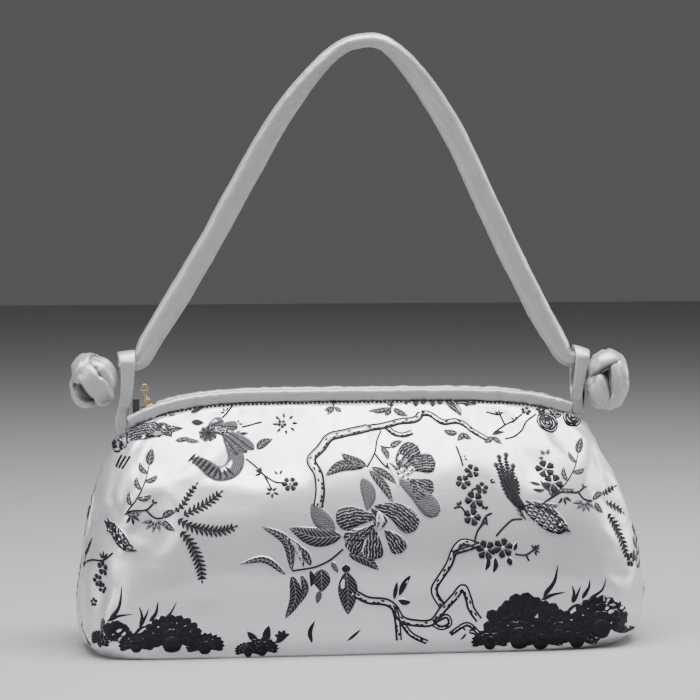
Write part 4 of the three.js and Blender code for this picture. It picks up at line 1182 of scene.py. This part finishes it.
bm = bmesh.new()
teeth = int(CHAIN_REACH / TOOTH_PITCH)
for i in range(teeth):
    x = (i + 0.5 - teeth / 2) * TOOTH_PITCH
    side = 1 if i % 2 else -1
    middle, up = rim_place(rim_share(LOOP_SHIFT + x), side * CHAIN_WIDTH * 0.16,
                           TAPE_SINK - GAP - CHAIN_HEIGHT / 2)
    turned = Matrix.Rotation(math.atan2(up.x, up.z), 4, "Y")
    size = Matrix.Diagonal((TOOTH_PITCH * 0.78, CHAIN_WIDTH * 0.66, CHAIN_HEIGHT, 1))
    bmesh.ops.create_cube(bm, size=1, matrix=Matrix.Translation(middle) @ turned @ size)
bmesh.ops.bevel(bm, geom=bm.edges, offset=0.22 * MM, segments=1, affect="EDGES", profile=0.5, material=-1)
piece = new_piece("zip_teeth", bm, "bag", [brass])
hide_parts("zip_chain")


def softened(name, body, cut):
    """A metal piece's own form with its sharp edges broken, as die-cast metal has them."""
    bm = bmesh.new()
    bm.from_mesh(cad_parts[name].data)
    bmesh.ops.remove_doubles(bm, verts=bm.verts, dist=1e-6)
    bmesh.ops.dissolve_limit(bm, angle_limit=math.radians(2), verts=bm.verts, edges=bm.edges,
                             use_dissolve_boundaries=False, delimit=set())
    sharp = [edge for edge in bm.edges if edge.is_manifold and edge.calc_face_angle() > math.radians(35)]
    bmesh.ops.bevel(bm, geom=sharp, offset=cut, segments=2, affect="EDGES", profile=0.5, material=-1,
                    clamp_overlap=True)
    piece = new_piece(name + "_metal", bm, body, [brass])
    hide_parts(name)


softened("zip_slider", "bag", 0.18 * MM)
softened("zip_pull", "pull", 0.22 * MM)

# Loops. A strip of the grey satin, folded to a flat band, doubled over and sewn into each end of
# the mouth. It opens to a tall ring for the strap, is pinched at its foot and spread at its crown.
LOOP_THICKNESS = 1.6 * MM
LOOP_DEPTH = 13 * MM
LOOP_TOP = 133.5 * MM
# rise: share of the height; shift, width: mm along X; slant: how far the band tips to one side
LoopRow = namedtuple("LoopRow", "rise shift width slant")
LOOP_ROWS = {
    -1: [LoopRow(0.0, -1.6, 4.2, 0.0), LoopRow(0.14, -2.0, 5.6, 0.0), LoopRow(0.5, 0.3, 5.7, 0.0),
         LoopRow(0.8, 0.9, 6.4, 0.0), LoopRow(1.0, 0.4, 8.2, 0.12)],
    1: [LoopRow(0.0, 0.4, 5.2, 0.0), LoopRow(0.3, -0.3, 5.3, 0.0), LoopRow(0.6, 0.2, 5.4, 0.0),
        LoopRow(0.85, 1.2, 6.2, -0.15), LoopRow(1.0, 1.8, 7.8, -0.38)],
}


def loop_cloth(end):
    low, high = (Vector(c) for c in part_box("left_loop" if end < 0 else "right_loop"))
    tall = high.z - low.z
    middle_x = (low.x + high.x) / 2
    radius = (LOOP_DEPTH - LOOP_THICKNESS) / 2
    foot = LOOP_THICKNESS * 0.55
    crown = high.z - LOOP_THICKNESS / 2 - radius
    half = [(-foot, low.z), (-foot * 1.02, low.z + tall * 0.24), (-radius * 0.55, low.z + tall * 0.40),
            (-radius * 0.90, low.z + tall * 0.60)]
    arch = [(-radius * math.cos(math.pi * i / 8), crown + radius * math.sin(math.pi * i / 8)) for i in range(9)]
    ring = half + arch + [(-y, z) for y, z in reversed(half)]
    ring_reach = [0]
    for a, b in zip(ring, ring[1:]):
        ring_reach.append(ring_reach[-1] + math.dist(a, b))
    rows = [(r, y, z) for r, (y, z) in zip(ring_reach, ring)]

    def place(around, along):
        at = along * ring_reach[-1]
        _, y, z = smooth_row(rows, at)
        _, y2, z2 = smooth_row(rows, min(at + 0.2 * MM, ring_reach[-1]))
        _, y1, z1 = smooth_row(rows, max(at - 0.2 * MM, 0))
        out = Vector((0, -(z2 - z1), y2 - y1)).normalized()
        row = LoopRow(*smooth_row(LOOP_ROWS[end], float(np.clip((z - low.z) / tall, 0, 1))))
        wide, thick = oval(around, row.width * MM / 2, LOOP_THICKNESS / 2, 3.5)
        side = wide / (row.width * MM / 2)
        fold = -0.22 * MM * math.exp(-((side - 0.25) / 0.16) ** 2) if thick > 0 else 0
        fold += noise.noise(Vector((at / MM * 0.35, around * 4, end))) * 0.28 * MM
        return Vector((middle_x + row.shift * MM + wide, y, z + row.slant * wide)) - out * (thick + fold)

    return laid_grid(28, 110, place, 14 * MM, ring_reach[-1])


for end, name in ((-1, "left_loop"), (1, "right_loop")):
    piece = new_piece(name + "_satin", loop_cloth(end), "bag", [satin])
    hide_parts(name)

# Strap. A turned tube of the same satin over a soft cord filling. It shows its flat side on both
# runs, turns edge-on over the top, and is squeezed and creased where it goes through the loops.
STRAP_WIDTH = 10.5 * MM
STRAP_THICKNESS = 6.5 * MM
STRAP_TOP = 275.5 * MM
STRAP_SQUASH = 0.3
Route = namedtuple("Route", "along rise turn squeeze")
STRAP_ROUTE = [
    Route(-1.000, 0.000, 0.00, 1.0),
    Route(-0.935, 0.000, 0.00, 1.0),
    Route(-0.902, 0.014, 0.00, 0.7),
    Route(-0.868, 0.062, 0.00, 0.2),
    Route(-0.769, 0.179, 0.05, 0.0),
    Route(-0.616, 0.368, 0.10, 0.0),
    Route(-0.471, 0.560, 0.15, 0.0),
    Route(-0.322, 0.749, 0.30, 0.0),
    Route(-0.152, 0.913, 0.75, 0.0),
    Route(-0.042, 0.982, 0.95, 0.0),
    Route(0.065, 1.000, 1.00, 0.0),
    Route(0.135, 0.988, 0.90, 0.0),
    Route(0.232, 0.924, 0.60, 0.0),
    Route(0.340, 0.818, 0.30, 0.0),
    Route(0.448, 0.684, 0.15, 0.0),
    Route(0.611, 0.430, 0.10, 0.0),
    Route(0.789, 0.171, 0.05, 0.0),
    Route(0.884, 0.050, 0.00, 0.3),
    Route(0.912, 0.013, 0.00, 0.8),
    Route(0.940, 0.000, 0.00, 1.0),
    Route(1.000, 0.000, 0.00, 1.0),
]
HALF_SPAN = (LOOP_SPAN + LOOP_WIDTH) / 2
STRAP_END = LOOP_TOP - LOOP_THICKNESS - GAP - STRAP_WIDTH * (1 - STRAP_SQUASH) / 2
STRAP_RISE = STRAP_TOP - STRAP_THICKNESS / 2 - STRAP_END


def strap_cloth():
    points = [(LOOP_SHIFT + row.along * HALF_SPAN, STRAP_END + row.rise * STRAP_RISE) for row in STRAP_ROUTE]
    reach = [0]
    for a, b in zip(points, points[1:]):
        reach.append(reach[-1] + math.dist(a, b))
    rows = [(r, x, z, row.turn, row.squeeze) for r, (x, z), row in zip(reach, points, STRAP_ROUTE)]

    def place(around, along):
        at = along * reach[-1]
        _, x, z, turn, squeeze = smooth_row(rows, at)
        _, x2, z2, _, _ = smooth_row(rows, min(at + 0.5 * MM, reach[-1]))
        _, x1, z1, _, _ = smooth_row(rows, max(at - 0.5 * MM, 0))
        tangent = Vector((x2 - x1, 0, z2 - z1)).normalized()
        across = Vector((0, 1, 0)).cross(tangent)
        across.rotate(Matrix.Rotation(turn * math.pi / 2, 3, tangent))
        out = tangent.cross(across)
        squeeze = min(max(squeeze, 0), 1)
        wide, thick = oval(around, STRAP_WIDTH / 2 * (1 - STRAP_SQUASH * squeeze), STRAP_THICKNESS / 2, 2.3)
        angle = 2 * math.pi * around
        step = at / MM
        ripple = 0.22 * noise.noise(Vector((step * 0.06, math.cos(angle), math.sin(angle))))
        ripple += 0.10 * noise.noise(Vector((step * 0.30, 2 * math.cos(angle), 2 * math.sin(angle))))
        ripple -= 0.7 * squeeze * max(0, math.sin(3 * angle + step * 0.06)) ** 4
        ripple -= 0.30 * math.exp(-((around - 0.75) / 0.02) ** 2)
        grow = 1 + ripple * MM / (STRAP_THICKNESS / 2)
        return Vector((x, 0, z)) + across * wide * grow + out * thick * grow

    return laid_grid(40, 420, place, 28 * MM, reach[-1])


piece = new_piece("strap_satin", strap_cloth(), "bag", [satin])
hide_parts("strap")

# Knots. Each end of the strap's tube is tied off tight outside its loop. Every strand that shows
# is laid over a packed middle, flattened by its neighbours and creased where it dives under one.
STRAND_BREADTH = 9.6 * MM
STRAND_THICKNESS = 6.4 * MM
STRAND_ROUND = 26
STRAND_TAPER = 0.35
KNOT_CORE = 0.6
Strand = namedtuple("Strand", "places")
LEFT_STRANDS = [
    # across, front, up: shares of the knot's half-width, half-depth and half-height
    [(-0.60, 0.10, 0.50), (-0.30, 0.55, 0.30), (0.10, 0.62, -0.10), (0.40, 0.35, -0.50), (0.45, -0.10, -0.62)],
    [(-0.20, 0.10, 0.66), (0.28, 0.42, 0.52), (0.58, 0.36, 0.05), (0.60, 0.00, -0.35)],
    [(0.20, -0.50, 0.50), (-0.30, -0.15, 0.68), (-0.52, 0.35, 0.42), (-0.66, 0.25, -0.05)],
    [(-0.62, -0.20, 0.20), (-0.66, -0.05, -0.25), (-0.40, 0.10, -0.62), (0.05, 0.10, -0.64)],
    [(0.45, -0.40, 0.40), (0.05, -0.64, 0.00), (-0.35, -0.42, -0.45)],
    [(-0.55, -0.45, 0.15), (0.00, -0.60, -0.35), (0.45, -0.30, -0.50)],
]
RIGHT_STRANDS = [
    [(0.20, 0.10, 0.68), (0.38, 0.50, 0.38), (0.42, 0.58, -0.08), (0.28, 0.40, -0.50), (0.05, 0.00, -0.70)],
    [(-0.45, 0.20, 0.30), (-0.42, 0.50, -0.05), (-0.25, 0.42, -0.48), (0.00, 0.00, -0.66)],
    [(-0.60, 0.05, 0.20), (-0.40, 0.40, 0.48), (0.05, 0.40, 0.64), (0.30, -0.10, 0.68)],
    [(0.05, -0.20, 0.68), (0.50, -0.10, 0.55), (0.64, -0.10, 0.10), (0.50, -0.15, -0.40)],
    [(-0.45, -0.35, 0.40), (0.00, -0.62, 0.00), (0.30, -0.40, -0.45)],
    [(0.45, -0.45, 0.20), (-0.05, -0.58, -0.35), (-0.42, -0.25, -0.50)],
]


def strand_cloth(points, key):
    reach = [0]
    for a, b in zip(points, points[1:]):
        reach.append(reach[-1] + (b - a).length)
    rows = [(r, *p) for r, p in zip(reach, points)]

    def place(around, along):
        at = along * reach[-1]
        centre = Vector(smooth_row(rows, at)[1:])
        ahead = Vector(smooth_row(rows, min(at + 0.2 * MM, reach[-1]))[1:])
        behind = Vector(smooth_row(rows, max(at - 0.2 * MM, 0))[1:])
        tangent = (ahead - behind).normalized()
        out = (centre - tangent * centre.dot(tangent)).normalized()
        across = out.cross(tangent)
        end = abs(2 * along - 1)
        taper = (1 - STRAND_TAPER * end ** 3) * math.sqrt(max(1 - end ** 14, 0))
        wide, thick = oval(around, STRAND_BREADTH / 2 * taper, STRAND_THICKNESS / 2 * taper, 2.2)
        angle = 2 * math.pi * around
        step = at / MM
        ripple = 0.45 * noise.noise(Vector((step * 0.20, 1.3 * math.cos(angle), 1.3 * math.sin(angle) + key)))
        ripple -= (0.25 + 0.6 * end ** 2) * max(0, math.sin(3 * angle + key + step * 0.15)) ** 6
        ripple -= 0.35 * max(0, math.sin(step * 0.55 + 2 * math.sin(angle + key))) ** 10
        grow = 1 + ripple * MM / (STRAND_THICKNESS / 2)
        return centre + across * wide * grow + out * thick * grow

    return laid_grid(40, 80, place, STRAND_ROUND * MM, reach[-1])


def knot_cloth(name, strands):
    low, high = (Vector(c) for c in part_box(name))
    half = (high - low) / 2
    whole = bmesh.new()
    bmesh.ops.create_uvsphere(whole, u_segments=24, v_segments=16, radius=1,
                              matrix=Matrix.Diagonal((*(half * KNOT_CORE), 1)))
    for key, strand in enumerate(strands):
        points = [Vector((x * half.x, -y * half.y, z * half.z)) for x, y, z in strand]
        bm = strand_cloth(points, key + 1)
        mesh = bpy.data.meshes.new("strand")
        bm.to_mesh(mesh)
        bm.free()
        whole.from_mesh(mesh)
        bpy.data.meshes.remove(mesh)
    drawn = [[min(v.co[i] for v in whole.verts), max(v.co[i] for v in whole.verts)] for i in range(3)]
    for vert in whole.verts:
        vert.co = [low[i] + (vert.co[i] - drawn[i][0]) / (drawn[i][1] - drawn[i][0]) * 2 * half[i]
                   for i in range(3)]
    return whole


# The knots' satin carries painted shade on the strands' sides, where they dive under each other.
knot_satin_painted_shade = plain_satin("knotted satin painted shade", STRAND_ROUND)
for name, strands in (("left_knot", LEFT_STRANDS), ("right_knot", RIGHT_STRANDS)):
    piece = new_piece(name + "_satin", knot_cloth(name, strands), "bag", [knot_satin_painted_shade])
    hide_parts(name)

# Floor and light.
bpy.ops.mesh.primitive_plane_add(size=6, location=(0, 0, 0))
floor = bpy.context.object
floor.name = "floor"
f = Finish("floor")
floor.data.materials.append(f.surface({"Base Color": (0.36, 0.36, 0.37, 1), "Roughness": 0.7}))

world = bpy.data.worlds.new("studio")
bpy.context.scene.world = world
world.use_nodes = True
world.node_tree.nodes["Background"].inputs["Color"].default_value = (0.80, 0.81, 0.83, 1)
world.node_tree.nodes["Background"].inputs["Strength"].default_value = 0.12


def area_light(name, place, target, size, power):
    light = bpy.data.lights.new(name, "AREA")
    light.shape = "RECTANGLE"
    light.size, light.size_y = size
    light.energy = power
    lamp = bpy.data.objects.new(name, light)
    lamp.location = place
    lamp.rotation_euler = (Vector(target) - Vector(place)).to_track_quat("-Z", "Y").to_euler()
    bpy.context.scene.collection.objects.link(lamp)


area_light("overhead", (0.05, -0.20, 1.00), (0, 0.02, 0.12), (1.2, 0.5), 34)
area_light("left strip", (-0.95, -0.55, 0.40), (-0.05, 0, 0.07), (0.12, 0.6), 5)
area_light("right strip", (1.0, 0.05, 0.35), (0.05, 0, 0.07), (0.25, 0.5), 5)
